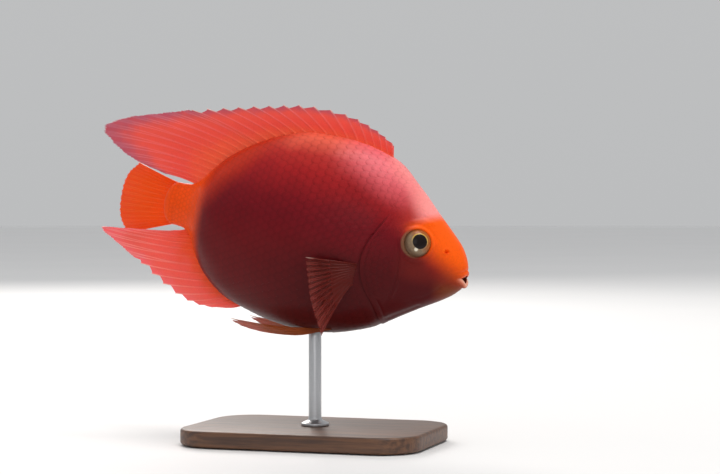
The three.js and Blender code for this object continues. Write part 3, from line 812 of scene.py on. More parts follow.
def skin_colour(finish, place, x, z):
    """The colour of the skin at a point of the level fish."""
    cloud = finish.noise(place, 0.045, 3.0)
    streak = (cloud - 0.5) * 8
    high = z + streak
    stops = [((height + FLANK_REACH) / (2 * FLANK_REACH), tint) for height, tint in FLANK_COLOURS_AND_PAINTED_LIGHT]
    # The ramp is raised over the shoulder: a painted highlight.
    share = (high + x.smooth(28, 46) * z.smooth(5, 13) * 6 + FLANK_REACH) / (2 * FLANK_REACH)
    colour = finish.node("ValToRGB", {"stops": stops}, {0: share})
    colour = finish.blend((high * 0.9 - x).smooth(51, 73), colour, REAR_RED)
    # Painted shade: darker over the lower front of the flank and the belly, where the light from above
    # does not reach.
    colour = finish.shade(colour, 1.0 - x.smooth(-40, 25) * (high - x * 0.15).smooth(2, -20) * 0.42)
    # Painted highlight over the nape, over its own rose.
    nape = (high + x * 0.35).smooth(33, 52) * (x + streak).smooth(0, 28)
    colour = finish.blend(nape * 0.9, colour, NAPE_PINK_AND_HIGHLIGHT)
    colour = finish.blend((x + streak * 0.5).smooth(-54, -66) * 0.9, colour, TAIL_ORANGE)
    colour = finish.blend(x.smooth(46, 60) * z.smooth(8, -2) * z.smooth(-16, -7), colour, CHEEK_RED)
    brow = x.smooth(43, 56) * z.smooth(4, 16) * (z + x * 0.5).smooth(55, 43)
    colour = finish.blend(brow * 0.8, colour, BROW_RED)
    # Painted highlight over the forehead, over its own pink.
    forehead = (high + x * 0.9 + x.smooth(42, 60) * 6).smooth(68, 81)
    colour = finish.blend(forehead, colour, FOREHEAD_PINK_AND_HIGHLIGHT)
    # Painted shade low on the snout, over its own red.
    muzzle = (z + x * 0.615).smooth(30, 44) * x.smooth(56, 66) * z.smooth(14, 4)
    colour = finish.blend(muzzle, colour, MUZZLE_RED_AND_SHADE)
    jaw = x.smooth(66, 77)
    colour = finish.blend(jaw * z.smooth(0, -7) * 0.85, colour, JAW_BROWN)
    colour = finish.blend(jaw * z.smooth(-9, -15) * 0.8, colour, JAW_OLIVE)
    upper_edge = (z - x * 0.5 + streak * 0.4).smooth(-8.4, -14.4)
    lower_edge = (z + x * 0.615 + streak * 0.2).smooth(35.0, 50.5)
    face = (x + z * 0.4).smooth(53, 62) * upper_edge * lower_edge
    return finish.blend(face, colour, FACE_ORANGE)


print("flank colours:", len(FLANK_COLOURS_AND_PAINTED_LIGHT))

# %% Finish of the skin
WET_GLOSS = {"Specular IOR Level": 0.1, "Coat Weight": 0.04, "Coat Roughness": 0.16}
NOTED_PARTS = [  # the note on the points, how strongly it shows, and its colour
    ("upper_lip", 0.6, paint(238, 110, 66)),
    # The pale lower lip: partly its own colour and partly a painted highlight along its rim.
    ("lower_lip", 0.9, paint(246, 178, 152)),
    ("inside_mouth", 0.9, paint(116, 40, 34)),
    # Painted shade in the groove behind the gill cover.
    ("gill_groove", 0.4, paint(66, 12, 16)),
]


def finish_piece(piece, name, material, replaced):
    """Name a piece, dress it, and say what it rides on and which solids it stands for."""
    piece.name = name
    piece.data.name = name
    piece.data.materials.clear()
    piece.data.materials.append(material)
    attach(piece, "root")
    if replaced:
        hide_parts(*replaced)
    print(name, "faces:", len(piece.data.polygons))


flesh = Finish("flesh")
place = flesh.fish_place()
x_mm, _, z_mm = place.axes()
colour = skin_colour(flesh, place, x_mm, z_mm)
mottle = flesh.noise(place, 0.9, 3.0)
colour = flesh.shade(colour, mottle * 0.3 + 0.85)
from_eye = ((x_mm - EYE_X) ** 2.0 + (z_mm - EYE_Z) ** 2.0).root()
taupe = from_eye.smooth(8.0, 6.8) * (x_mm + z_mm * 0.4).smooth(EYE_X + 3.5, EYE_X - 2.5)
colour = flesh.blend(taupe * 0.75, colour, EYE_TAUPE)
for name, strength, tint in NOTED_PARTS:
    colour = flesh.blend(flesh.attribute(name) * strength, colour, tint)
pores = flesh.noise(place, 2.6, 4.0)
flesh_shader = flesh.node("BsdfPrincipled", None, {
    "Base Color": colour,
    "Roughness": mottle * 0.12 + 0.36,
    "Subsurface Weight": 0.1,
    "Subsurface Radius": (1.0, 0.3, 0.2),
    "Subsurface Scale": 0.002,
    "Normal": flesh.bump(pores, 0.00012, 0.5),
    **WET_GLOSS,
})
finish_piece(
    skin, "skin", flesh.surface(flesh_shader),
    ["head", "lower_jaw", "gill_cover_right", "gill_cover_left", "trunk", "tail_stalk"],
)

# %% [markdown]
# ## Scales
# A scale is a thin plate rooted in a pocket of the skin. Its rounded rear edge lies over the next
# scale and stands about a quarter of a millimetre clear of the skin. One scale is modelled from a
# low cylinder, inset twice, and then laid over the skin a thousand times and more: columns
# follow the rings of the skin, every second column is shifted by half a scale, and each copy bends
# with the skin that it lies on. Scales are largest on the flank and small on the cheek, the nape
# and the tail stalk, and the snout has none. Behind the gill cover the first scales tuck into the
# groove. A row along the upper flank carries the small ridges of the lateral line.


# %% Model one scale
def select_parts(piece, kind, test):
    """Enter edit mode with those faces or edges selected that pass a test, and no others."""
    bpy.ops.object.mode_set(mode="EDIT")
    bpy.ops.mesh.select_mode(type=kind)
    bpy.ops.mesh.select_all(action="DESELECT")
    bpy.ops.object.mode_set(mode="OBJECT")
    parts = piece.data.polygons if kind == "FACE" else piece.data.edges
    for part in parts:
        part.select = test(part)
    bpy.ops.object.mode_set(mode="EDIT")


scale_model = add(
    bpy.ops.mesh.primitive_cylinder_add, vertices=14, radius=1, depth=1, end_fill_type="NGON",
)
select_parts(scale_model, "FACE", lambda face: face.normal.z > 0.9)
bpy.ops.mesh.inset(thickness=0.16)
bpy.ops.mesh.inset(thickness=0.38)
bpy.ops.mesh.select_all(action="SELECT")
bpy.ops.mesh.quads_convert_to_tris()
bpy.ops.object.mode_set(mode="OBJECT")
scale_points = get_points(scale_model.data)
scale_faces = np.array([tuple(face.vertices) for face in scale_model.data.polygons])
bpy.data.objects.remove(scale_model)
print("one scale:", len(scale_points), "points,", len(scale_faces), "faces")

# %% Where a point of the skin lies
QUARTER = SEGMENTS // 4
ARC_STEPS = 120
ARC_SHARES = np.linspace(0, 1, ARC_STEPS + 1)


def quarter_table(segments):
    """Arc length of each ring over some segments, and the segment at each share of that arc."""
    arcs = walked(skin_grid[:, segments].swapaxes(0, 1)).T
    reached = [np.interp(ARC_SHARES * arc[-1], arc, np.arange(len(arc))) for arc in arcs]
    return arcs[:, -1], np.array(reached)


def sample(grid, row, column, wraps):
    """Values of a grid between its rows and columns."""
    row = np.clip(row, 0, grid.shape[0] - 1.001)
    low_row = row.astype(int)
    low_column = np.floor(column).astype(int)
    row_share = (row - low_row)[..., None]
    column_share = (column - low_column)[..., None]
    count = grid.shape[1]
    first = low_column % count if wraps else np.clip(low_column, 0, count - 1)
    second = (low_column + 1) % count if wraps else np.clip(low_column + 1, 0, count - 1)
    here, behind = (
        grid[number, first] * (1 - column_share) + grid[number, second] * column_share
        for number in (low_row, low_row + 1)
    )
    return here * (1 - row_share) + behind * row_share


def segment_at(ring, climb, side):
    """Segment that lies an arc of climb above the widest level of a ring, on one side."""
    above = climb >= 0
    arc = np.where(above, *(np.interp(ring, RING_NUMBERS, arcs) for arcs in (UP_ARC, DOWN_ARC)))
    share = np.clip(np.abs(climb) / arc, 0, 1) * ARC_STEPS
    up_part = sample(UP_SEGMENT[..., None], ring, share, False)[..., 0]
    down_part = sample(DOWN_SEGMENT[..., None], ring, share, False)[..., 0]
    segment = np.where(above, up_part, -down_part)
    return segment if side > 0 else SEGMENTS / 2 - segment


UP_ARC, UP_SEGMENT = quarter_table(np.arange(QUARTER + 1))
DOWN_ARC, DOWN_SEGMENT = quarter_table(-np.arange(QUARTER + 1))
print("longest arc from the widest level to the back:", UP_ARC.max().round(1), "mm")

# %% Sizes of the scales
FIRST_SCALED_X = 55.0
LAST_SCALED_X = -82.0
LARGEST_PITCH = 4.3
PITCH_PLACES = (-80, -66, -40, 0, 25, 40, 56)
PITCHES = (2.3, 2.7, 3.7, LARGEST_PITCH, 4.0, 3.1, 2.4)
COLUMN_SPACING = 0.86  # of the pitch
RING_X = skin_grid[:, 0, 0]  # along the left side, where the body is widest
TRACKS = walked(skin_grid)


def ring_behind(ring, distance, segment=0):
    """The ring that lies a distance behind another, measured along one segment."""
    track = TRACKS[:, int(round(segment)) % SEGMENTS]
    return np.interp(np.interp(ring, RING_NUMBERS, track) + distance, track, RING_NUMBERS)


def ring_of_x(x):
    return float(np.interp(-x, -RING_X[EDGE_RING:], RING_NUMBERS[EDGE_RING:]))


def pitch_at(ring):
    return float(np.interp(np.interp(ring, RING_NUMBERS, RING_X), PITCH_PLACES, PITCHES))


def column_rings(start, stop):
    """Rings of the columns of scales between two rings, at a spacing that follows their size."""
    found = [start]
    while found[-1] < stop:
        found.append(float(ring_behind(found[-1], COLUMN_SPACING * pitch_at(found[-1]))))
    return found[:-1]


columns = column_rings(ring_of_x(FIRST_SCALED_X), ring_of_x(LAST_SCALED_X))
print("columns:", len(columns))

# %% [markdown]
# Every place where a scale could be rooted is a seat. Above the gill opening the rings of the skin
# crowd together, because their lower parts bend round the cover. Every second column ahead of the
# opening is therefore left out on the nape, and the rest are staggered anew.

# %% Seats of the scales
LATERAL_LINE = 9.0  # its arc above the widest level, where the scales are largest
NAPE_CLIMB = 22.0  # the arc above which the columns crowd
BARE_FROM = 52  # the snout's skin is bare from here
EYE_CLEAR = 14.5
COVER_CLEAR = 0.82  # a share of the cover's oval, whose rim stays bare
GROOVE_TOP = 22  # up to this height the groove behind the cover is kept free,
GROOVE_AHEAD, GROOVE_BEHIND = 7, 2  # by so many rings on its two sides
THROAT_X, THROAT_TOP = 46, -27  # the skin between the lower jaws is bare

first_behind = int(np.searchsorted(columns, SEAM_RING))
seats = []  # ring, climb, pitch, on the lateral line
for number, ring in enumerate(columns):
    ahead_by = max(0, first_behind - number)
    pitch = pitch_at(ring)
    top, bottom = (float(np.interp(ring, RING_NUMBERS, arcs)) for arcs in (UP_ARC, DOWN_ARC))
    line_climb = LATERAL_LINE * pitch / LARGEST_PITCH
    for half_row in range(-int(2 * bottom / pitch) - 2, int(2 * top / pitch) + 3):
        climb = half_row * pitch / 2
        on_nape = ahead_by > 0 and climb > NAPE_CLIMB
        stagger = first_behind + ahead_by // 2 if on_nape else number
        left_out = (half_row + stagger) % 2 or (on_nape and ahead_by % 2)
        if not left_out and -bottom + 0.3 * pitch < climb < top - 0.15 * pitch:
            on_line = abs(climb - line_climb) <= pitch / 2 and ahead_by == 0
            seats.append((ring, climb, pitch, on_line))
seats = np.array(seats, float)
print("seats on each side:", len(seats))


def bareness(x, z):
    """Grows towards the snout."""
    return x + 0.25 * np.maximum(z - 10, 0)


def wanted(centres, ring):
    """Leave out the scales that would lie on the snout, round the eye or over the plates' edges."""
    x, _, z = centres.T
    kept = (np.hypot(x - EYE_X, z - EYE_Z) > EYE_CLEAR) & (bareness(x, z) < BARE_FROM)
    inside_cover = oval_distance(x, z, COVER) < COVER_CLEAR
    kept &= inside_cover | (z > GROOVE_TOP) | (x < COVER_X) | (ring > SEAM_RING)
    in_groove = (ring > SEAM_RING - GROOVE_AHEAD) & (ring < SEAM_RING + GROOVE_BEHIND)
    kept &= ~(in_groove & (z < GROOVE_TOP))
    return kept & ~((x > THROAT_X) & (z < THROAT_TOP))


# %% Lay the scales over the skin
SCALE_LIFT = 0.27  # how far a rear edge stands clear of the skin in its pocket
SCALE_SUNK = 0.05  # how deep the root lies
SCALE_THICK = 0.09
EDGE_ROUNDED = 0.035
REAR_LENGTH, ROOT_LENGTH, HALF_WIDTH, TAPER = 0.86, 0.98, 0.66, 0.12  # of the pitch
FULL_LIFT_SIZE = 3.4  # smaller scales lie flatter
LEAST_LIFT = 0.25  # next to the bare skin they are almost flush with it
TUCKED_BEHIND = 1.6  # rings between the gill opening and the first roots
random = np.random.default_rng(7)
to_rear, to_side, above = scale_points.T
from_centre = np.hypot(to_rear, to_side)


def lay(side):
    """The points of each scale on one side, and the seats that they lie on."""
    middles = sample(skin_grid, seats[:, 0], segment_at(*seats[:, :2].T, side), True)
    kept = wanted(middles, seats[:, 0])
    ring, climb, pitch, on_line = seats[kept].T
    x, _, z = middles[kept].T
    size = pitch * random.uniform(0.95, 1.05, len(pitch))
    length = REAR_LENGTH * np.maximum(to_rear, 0) + ROOT_LENGTH * np.minimum(to_rear, 0)
    width = HALF_WIDTH * to_side * (1 - TAPER * np.abs(to_rear))
    seat_rows = zip(ring, size[:, None] * length, segment_at(ring, climb, side))
    rings = np.array([ring_behind(*seat) for seat in seat_rows])
    tucked = (ring > SEAM_RING) & (z < 24)
    rings = np.where(tucked[:, None], np.maximum(rings, SEAM_RING + TUCKED_BEHIND), rings)
    segments = segment_at(rings, climb[:, None] + size[:, None] * width, side)
    slope = (to_rear + 1) / 2
    tops = (SCALE_SUNK + SCALE_LIFT) * slope - SCALE_SUNK
    tops = tops - EDGE_ROUNDED * smooth_step(from_centre, 0.8, 1.0)
    tilt = random.uniform(-0.02, 0.02, len(pitch))
    line_ridge = on_line[:, None] * ridge(to_side, height=0.16, width=0.2) * (above > 0)
    lift = np.where(above > 0, tops, tops - SCALE_THICK) + tilt[:, None] * slope + line_ridge
    fading = LEAST_LIFT + (1 - LEAST_LIFT) * smooth_step(bareness(x, z), BARE_FROM + 1, 42)
    lift = lift * (fading * np.minimum(1, size / FULL_LIFT_SIZE))[:, None]
    ground = sample(skin_grid, rings, segments, True)
    outward = sample(skin_normals, rings, segments, True)
    return to_model(ground + outward * lift[..., None]), ring, climb


# %% Join the scales of a side
PATCH = 0.0015  # half the side of a scale's own patch of the map for baking


def coat(name, side):
    """All scales of one side as one mesh of closed shells."""
    points, ring, climb = lay(side)
    count = len(scale_points)
    faces = scale_faces[None] + count * np.arange(len(points))[:, None, None]
    if side < 0:
        faces = faces[..., ::-1]
    mesh = bpy.data.meshes.new(name)
    mesh.from_pydata(points.reshape(-1, 3).tolist(), [], faces.reshape(-1, 3).tolist())
    # Painted shade along each scale's rear edge, where it lies over the next scale.
    rear_edge = smooth_step(from_centre, 0.55, 1.0) * (to_rear > -0.3)
    note(mesh, "rear_edge", np.tile(rear_edge, len(points)))
    note(mesh, "tone", np.repeat(random.uniform(-1, 1, len(points)), count))
    unwrap = mesh.uv_layers.new(name="OFBake")
    middle = np.stack(((segment_at(ring, climb, side) / SEGMENTS) % 1, ring / len(skin_grid)), -1)
    patch = middle[:, None] + PATCH * np.stack((to_side, to_rear), -1)[None]
    loops = np.empty(len(mesh.loops), np.int32)
    mesh.loops.foreach_get("vertex_index", loops)
    unwrap.data.foreach_set("uv", patch.reshape(-1, 2)[loops].astype(np.float32).ravel())
    piece = bpy.data.objects.new(name, mesh)
    bpy.context.scene.collection.objects.link(piece)
    bpy.ops.object.select_all(action="DESELECT")
    bpy.context.view_layer.objects.active = piece
    piece.select_set(True)
    bpy.ops.object.shade_smooth_by_angle(angle=math.radians(50))
    return piece


# %% [markdown]
# ## The look of the scales
# A scale is almost clear, and the skin's colour shows through it. So the scales take the skin's own
# colours, each a little lighter or darker than its neighbour, with painted shade along the rear edge
# where it lies over the next scale, and fine growth rings that a noise stands for.

# %% Finish of the scales
scale_finish = Finish("scales")
place = scale_finish.fish_place()
x_mm, _, z_mm = place.axes()
colour = skin_colour(scale_finish, place, x_mm, z_mm)
colour = scale_finish.shade(colour, scale_finish.attribute("tone") * 0.035 + 1.0)
# Painted shade along the rear edge, with the inside of each scale a touch lighter.
colour = scale_finish.shade(colour, 1.03 - scale_finish.attribute("rear_edge") * 0.16)
growth = scale_finish.noise(place, 1.6, 4.0)
scale_material = scale_finish.surface(scale_finish.node("BsdfPrincipled", None, {
    "Base Color": colour,
    "Roughness": growth * 0.2 + 0.28,
    "Normal": scale_finish.bump(growth, 0.00008, 0.4),
    **WET_GLOSS,
}))
for side, word in ((-1, "right"), (1, "left")):
    finish_piece(coat(f"scales_{word}", side), f"scales_{word}", scale_material, None)

# %% [markdown]
# ## Eyes
# The eye is a ball flattened a little, set deep in its socket and turned to face forwards as the
# cheek does. Under a clear, wet surface lie the black pupil, a thin yellow ring, and an iris that is
# silver-cream below and behind, and olive towards the brow and the snout. The colours are rings
# round the eye's own axis, so a Mapping node first turns the place into the eye's own frame.

# %% Finish of an eye
PUPIL = 3.6
PUPIL_AHEAD = (0.45, 0.6)  # the pupil sits forwards and up from the middle of the iris
YELLOW_RING = (4.4, 3.85)  # radii between which it comes up round the pupil
DARK_RIM = (5.2, 6.6)
GLINT = (0.4, 3.5)  # a painted glint of reflected light, so far behind and below the middle
GLINT_EDGE = (1.25, 0.5)


def eye_frame(side):
    """Middle of the eyeball and its turn: Z looks out, X points to the snout."""
    facing = flank_normal(EYE_X, EYE_Z, side)
    middle = flank_point(EYE_X, EYE_Z, side) - EYE_SUNK * facing
    ahead_way = np.array((1.0, 0, 0)) - facing[0] * facing
    ahead_way /= np.linalg.norm(ahead_way)
    turn = np.stack((ahead_way, np.cross(facing, ahead_way), facing), -1)
    turn = Matrix.Rotation(NOSE_DOWN, 3, "Y") @ Matrix(turn.tolist())
    return to_model(middle), turn.to_euler()


def eye_finish(name, side):
    finish = Finish(name)
    middle, turn = eye_frame(side)
    place = finish.place_in({"Location": middle, "Rotation": turn, "Scale": (MM, MM, MM)})
    ahead_mm, above_mm, _ = place.axes()
    above_mm = above_mm * (-1.0 if side > 0 else 1.0)
    across = ((ahead_mm - PUPIL_AHEAD[0]) ** 2.0 + (above_mm - PUPIL_AHEAD[1]) ** 2.0).root()
    rays = finish.noise(place, 1.1, 4.0)
    warm = (ahead_mm * 0.8 + above_mm + (rays - 0.5) * 3).smooth(-2.5, 4.0)
    iris = finish.blend(warm, paint(134, 112, 88), paint(164, 88, 30))
    iris = finish.shade(iris, rays * 0.7 + 0.62)
    iris = finish.blend(across.smooth(*DARK_RIM) * 0.75, iris, paint(84, 54, 34))
    glow = above_mm.smooth(-2.0, 3.0)
    ring_colour = finish.blend(glow, paint(172, 152, 120), paint(214, 176, 84))
    iris = finish.blend(across.smooth(*YELLOW_RING) * (glow * 0.6 + 0.25), iris, ring_colour)
    # Painted glint: a pale patch of reflected light below and behind the pupil.
    glint = ((ahead_mm + GLINT[0]) ** 2.0 + (above_mm + GLINT[1]) ** 2.0).root()
    iris = finish.blend(glint.smooth(*GLINT_EDGE), iris, paint(232, 222, 200))
    colour = finish.blend(across.smooth(PUPIL + 0.12, PUPIL - 0.08), iris, paint(18, 7, 6))
    return finish.surface(finish.node("BsdfPrincipled", None, {
        "Base Color": colour,
        "Roughness": 0.3,
        "Specular IOR Level": 0.1,
        "Coat Weight": 0.42,
        "Coat Roughness": 0.02,
        "Coat IOR": 1.34,
    }))


# %% Eyeballs
for side, word in ((-1, "right"), (1, "left")):
    middle, turn = eye_frame(side)
    eye = add(
        bpy.ops.mesh.primitive_uv_sphere_add, segments=96, ring_count=64, radius=1, location=middle,
        rotation=turn, scale=(EYE_RADIUS * MM, EYE_RADIUS * MM, EYE_BULGE * MM),
    )
    bpy.ops.object.transform_apply(location=True, rotation=True, scale=True)
    bpy.ops.object.shade_smooth()
    finish_piece(eye, f"eyeball_{word}", eye_finish(f"eye_{word}", side), [f"eye_{word}"])

# %% [markdown]
# ## Fins
# A fin is a thin membrane stretched over rays. In front the rays are single hard spines that stand
# free at the margin; behind they are soft, and each splits in two and then in four towards the
# margin. All rays fan out between a few guides: root, bend and tip. The sheet is a plain grid whose
# points take their places in the fan, and a Solidify modifier with a weight for each point gives
# the rays their body and leaves the membrane thin.

# %% Fans
ROOT_DEPTH = 1.5
TAIL_ROOT = -70
TAIL_CURL = 0.004
FIN_TRAIL = 0.12
RIPPLES = 2.5
RIPPLE_HEIGHT = 1.1


def fin_sway(x):
    return sway(np.maximum(x, TAIL_ROOT)) + FIN_TRAIL * np.maximum(0, TAIL_ROOT - x)


def tail_sway(x):
    return sway(x) + TAIL_CURL * np.maximum(0, TAIL_ROOT - x) ** 2


def ripple(across, out):
    return RIPPLE_HEIGHT * out * out * np.sin(across * RIPPLES * 2 * np.pi)


def fan(guides, bend_sideways=None):
    """The sheet of a fin: across runs from the first guide to the last, out from root to tip."""
    rows = np.array(guides, float).reshape(len(guides), 9)

    def at(across, out):
        guide = spline(rows, across * (len(rows) - 1))
        share = out[..., None]
        point = (1 - share) ** 2 * guide[..., 0:3] + 2 * share * (1 - share) * guide[..., 3:6]
        point = point + share**2 * guide[..., 6:9]
        if bend_sideways:
            point[..., 1] = bend_sideways(point[..., 0], across, out)
        return point

    return at


def midline_fan(rows, edge, bow, rippling):
    """A fin on the midline, rooted along the back (edge 1) or the belly (edge -1)."""
    guides = []
    for root_x, tip_x, tip_z in rows:
        _, top, bottom, _, _ = section_at_x(root_x)
        root = np.array((root_x, 0, (top if edge > 0 else bottom) - edge * ROOT_DEPTH))
        tip = np.array((tip_x, 0, tip_z))
        bend = (root + tip) / 2 + (0, 0, edge * bow * np.linalg.norm(tip - root))
        guides.append((root, bend, tip))
    return fan(guides, lambda x, across, out: fin_sway(x) + rippling * ripple(across, out))


# %% Spines and branching rays
SPINE_WIDTH, RAY_WIDTH = 0.105, 0.12  # of the gap between two rays
FIRST_FORK, SECOND_FORK = 0.15, 0.075
NOTCH = 0.13  # how far the margin falls back behind a spine's tip


def ray_pattern(place, out, spines, branches):
    """How near each point is to a ray, how far the margin is drawn in, and where rays are hard."""
    number = np.round(place)
    hard = number < spines
    width = np.where(hard, SPINE_WIDTH, RAY_WIDTH) * (1 - 0.4 * out)
    nearest = np.abs(place - number)
    if branches:
        first = FIRST_FORK * smooth_step(out, 0.32, 0.75)
        second = SECOND_FORK * smooth_step(out, 0.62, 1.0)
        split = np.abs(np.abs(nearest - first) - second)
        nearest = np.where(hard, nearest, split)
        width = np.where(hard, width, width * (1 - 0.45 * smooth_step(out, 0.3, 0.9)))
    ray = hump(nearest, width)
    behind = (place - 0.02) % 1.0
    free_spine = 0.015 + NOTCH * behind**0.7
    fray = 0.02 + 0.014 * np.sin(place * 41.0) * np.sin(place * 17.3 + 2)
    margin = np.where(hard & (np.floor(place) < spines), free_spine, fray)
    return ray, margin * (1 - smooth_step(ray, 0.35, 0.75)), hard


# %% Model a fin
MEMBRANE = 0.26
THICKEST = 3.0
COLUMNS = 15  # of the grid, to each ray
OVERHANG = 0.2  # the membrane ends this share of a gap outside the first and the last ray
WEIGHT_STEPS = 60


def make_fin(name, at, rays, spines, root_thickness, material, replaced, rows=60, branches=True):
    """A fin of so many rays, the first of them spines, on the sheet that a fan gives."""
    gaps = rays - 1 + 2 * OVERHANG
    columns_wide = round(COLUMNS * gaps)
    fin = add(bpy.ops.mesh.primitive_grid_add, x_subdivisions=columns_wide, y_subdivisions=rows, size=2)
    across, out, _ = (get_points(fin.data).T + 1) / 2
    place = across * gaps - OVERHANG
    _, drawn_in, _ = ray_pattern(place, np.ones_like(out), spines, branches)
    out = out * (1 - drawn_in)
    ray, _, hard = ray_pattern(place, out, spines, branches)
    rise = np.where(hard, 0.3 * (1 - out) + 0.07, 0.19 * (1 - out) + 0.06)
    fleshy = np.maximum(0, 1 - out / 0.3) ** 2
    thickness = MEMBRANE * (1 - 0.45 * out) + (root_thickness - MEMBRANE) * fleshy + 2 * rise * ray
    set_points(fin.data, to_model(at(across, out)))
    note(fin.data, "ray", ray)
    note(fin.data, "along", out)
    note(fin.data, "spine_tip", ray * hard * smooth_step(out, 0.8, 0.94))
    body = fin.vertex_groups.new(name="body")
    weights = np.round(thickness / THICKEST * WEIGHT_STEPS)
    for weight in range(WEIGHT_STEPS + 1):
        body.add(np.nonzero(weights == weight)[0].tolist(), weight / WEIGHT_STEPS, "REPLACE")
    solid = fin.modifiers.new("thickness", "SOLIDIFY")
    solid.thickness = THICKEST * MM
    solid.offset = 0
    solid.vertex_group = "body"
    bpy.ops.object.modifier_apply(modifier="thickness")
    bpy.ops.object.shade_smooth_by_angle(angle=math.radians(60))
    finish_piece(fin, name, material, replaced)


# %% [markdown]
# ## The look of a fin
# Light passes through a membrane, so its finish mixes a glossy skin with a translucent one, and the
# membrane is a little see-through near the margin. Rays are more solid, and paler at their tips.

# %% Finish of a fin
GLOWING = 0.34  # share of the light that passes through the membrane
TIP_PALE = paint(255, 226, 208)


def fin_finish(name, root, middle, margin, ray_colour, glow, clearness):
    finish = Finish(name)
    place = finish.fish_place()
    along = finish.attribute("along")
    ray = finish.attribute("ray")
    cloud = finish.noise(place, 0.12, 3.0)
    reach = along + (cloud - 0.5) * 0.35
    colour = finish.blend(reach.smooth(0.02, 0.4), root, middle)
    colour = finish.blend(reach.smooth(0.62, 1.0), colour, margin)
    colour = finish.blend(ray * 0.45 * along.smooth(0.1, 0.9), colour, ray_colour)
    colour = finish.blend(finish.attribute("spine_tip") * 0.95, colour, TIP_PALE)
    joints = finish.noise(place, 1.8, 2.0)
    colour = finish.shade(colour, joints * 0.3 + 0.85)
    clear = along.smooth(0.1, 0.8) * (1 - ray * 0.8) * clearness
    skin_side = finish.node("BsdfPrincipled", None, {
        "Base Color": colour,
        "Roughness": 0.36,
        "Coat Weight": 0.05,
        "Coat Roughness": 0.2,
        "Alpha": 1 - clear,
        "Specular IOR Level": 0.16,
        "Normal": finish.bump(joints, 0.00008, 0.4),
    })
    through = finish.node("BsdfTranslucent", None, {"Color": glow})
    share = (1 - ray * 0.5) * GLOWING
    return finish.surface(finish.node("MixShader", None, {0: share, 1: skin_side, 2: through}))


back_fin = fin_finish(
    "back_fin", paint(255, 112, 74), paint(248, 98, 84), paint(162, 90, 126), paint(240, 160, 164),
    paint(255, 104, 76), 0.28)
belly_fin = fin_finish(
    "belly_fin", paint(244, 92, 40), paint(255, 112, 100), paint(255, 126, 140), paint(255, 204, 188),
    paint(255, 112, 88), 0.25)
tail_fin = fin_finish(
    "tail_fin", paint(255, 84, 4), paint(255, 90, 2), paint(255, 86, 26), paint(255, 124, 34),
    paint(255, 112, 6), 0.1)
side_fin = fin_finish(
    "side_fin", paint(108, 30, 24), paint(104, 33, 27), paint(146, 72, 66), paint(130, 52, 44),
    paint(190, 64, 44), 0.7)
under_fin = fin_finish(
    "under_fin", paint(112, 50, 20), paint(164, 80, 36), paint(200, 112, 104), paint(214, 140, 104),
    paint(190, 88, 44), 0.25)
print("fin finishes:", [fin.name for fin in (back_fin, belly_fin, tail_fin, side_fin, under_fin)])

# %% [markdown]
# ## The fins of the midline
# The back carries one long fin: sixteen spines, then twelve soft rays that trail to a point far
# behind. The belly carries its mirror image in small, eight spines and nine soft rays. The tail fin
# curls to the fish's left, away from the camera.

# %% Fins of the midline
DORSAL_SPINES = [  # root x, then the tip's x and z
    (33.5, 32.2, 50.6), (26, 21, 56.4), (15, 5, 60.8), (1, -17, 61.4), (-13, -38, 57.6),
    (-26, -60, 52.8), (-38.5, -83, 47.6),
]
DORSAL_RAYS = [
    (-38.4, -82.8, 47.6), (-45, -102, 42.2), (-51, -119.5, 36.8), (-56.5, -131.6, 29.5),
    (-61.5, -119, 20.8), (-66, -105, 15.6), (-69.6, -90, 12.9),
]
ANAL_RAYS = [
    (-30, -39, -47.4), (-35, -54, -49.6), (-41, -67, -48), (-47.5, -81.5, -42.2),
    (-54, -96, -35.2), (-60, -111, -27.8), (-64, -121.5, -21.8), (-66.8, -109, -19.6),
    (-68.8, -93, -17.4), (-70.4, -83, -16),
]
TAIL_RAYS = [  # root z, then the tip's x and z
    (9.2, -111, 15), (6, -118, 8), (-1, -121.5, -4), (-8, -118, -16), (-11.2, -111, -23),
]

make_fin("dorsal_spines", midline_fan(DORSAL_SPINES, 1, 0.06, 0), 16, 16, 2.2, back_fin,
         ["dorsal_fin_spiny"], branches=False)
make_fin("dorsal_rays", midline_fan(DORSAL_RAYS, 1, 0.06, 1), 12, 0, 2.2, back_fin,
         ["dorsal_fin_soft"], rows=84)
make_fin("anal_rays", midline_fan(ANAL_RAYS, -1, 0.05, 0.7), 17, 8, 2.2, belly_fin,
         ["anal_fin"], rows=84)
tail_guides = []
for root_z, tip_x, tip_z in TAIL_RAYS:
    root = np.array((STALK_END + ROOT_DEPTH, 0, root_z))
    tip = np.array((tip_x, 0, tip_z))
    tail_guides.append((root, (root + tip) / 2, tip))
tail = fan(tail_guides, lambda x, across, out: tail_sway(x) + 0.5 * ripple(across, out))
make_fin("tail_rays", tail, 16, 0, 2.6, tail_fin, ["caudal_fin"])

# %% [markdown]
# ## The paired fins
# The fins of the flank fold back and down against the body, and those of the belly trail under it.
# Each is set out on the right side and mirrored for the left.

# %% Paired fins
PECTORAL_RAYS = [  # root x and z, then the tip
    (32.2, -8.6, 8.8, -33.6, -9.6), (31.8, -11.5, 12.6, -35.4, -20),
    (31.4, -14.5, 16.6, -35.6, -31), (31.2, -18.6, 23.4, -31.4, -46.4),
]
PECTORAL_BOW = np.array((0, -5.5, 0))
LEFT_PECTORAL_LIFT = 0.5  # of the way that a ray is rooted below the first
PELVIC_RAYS = [  # root x and y, then the tip
    (20.4, -9, -33.8, -13.5, -49.6), (19.2, -8.2, -26, -12.6, -52.4),
    (17.6, -7.2, -15, -10.6, -53.4), (15.8, -6.2, -6, -8.4, -52.4),
]
PELVIC_BOW = np.array((0, 0, -4.2))
PAIRED_BEND = 0.45


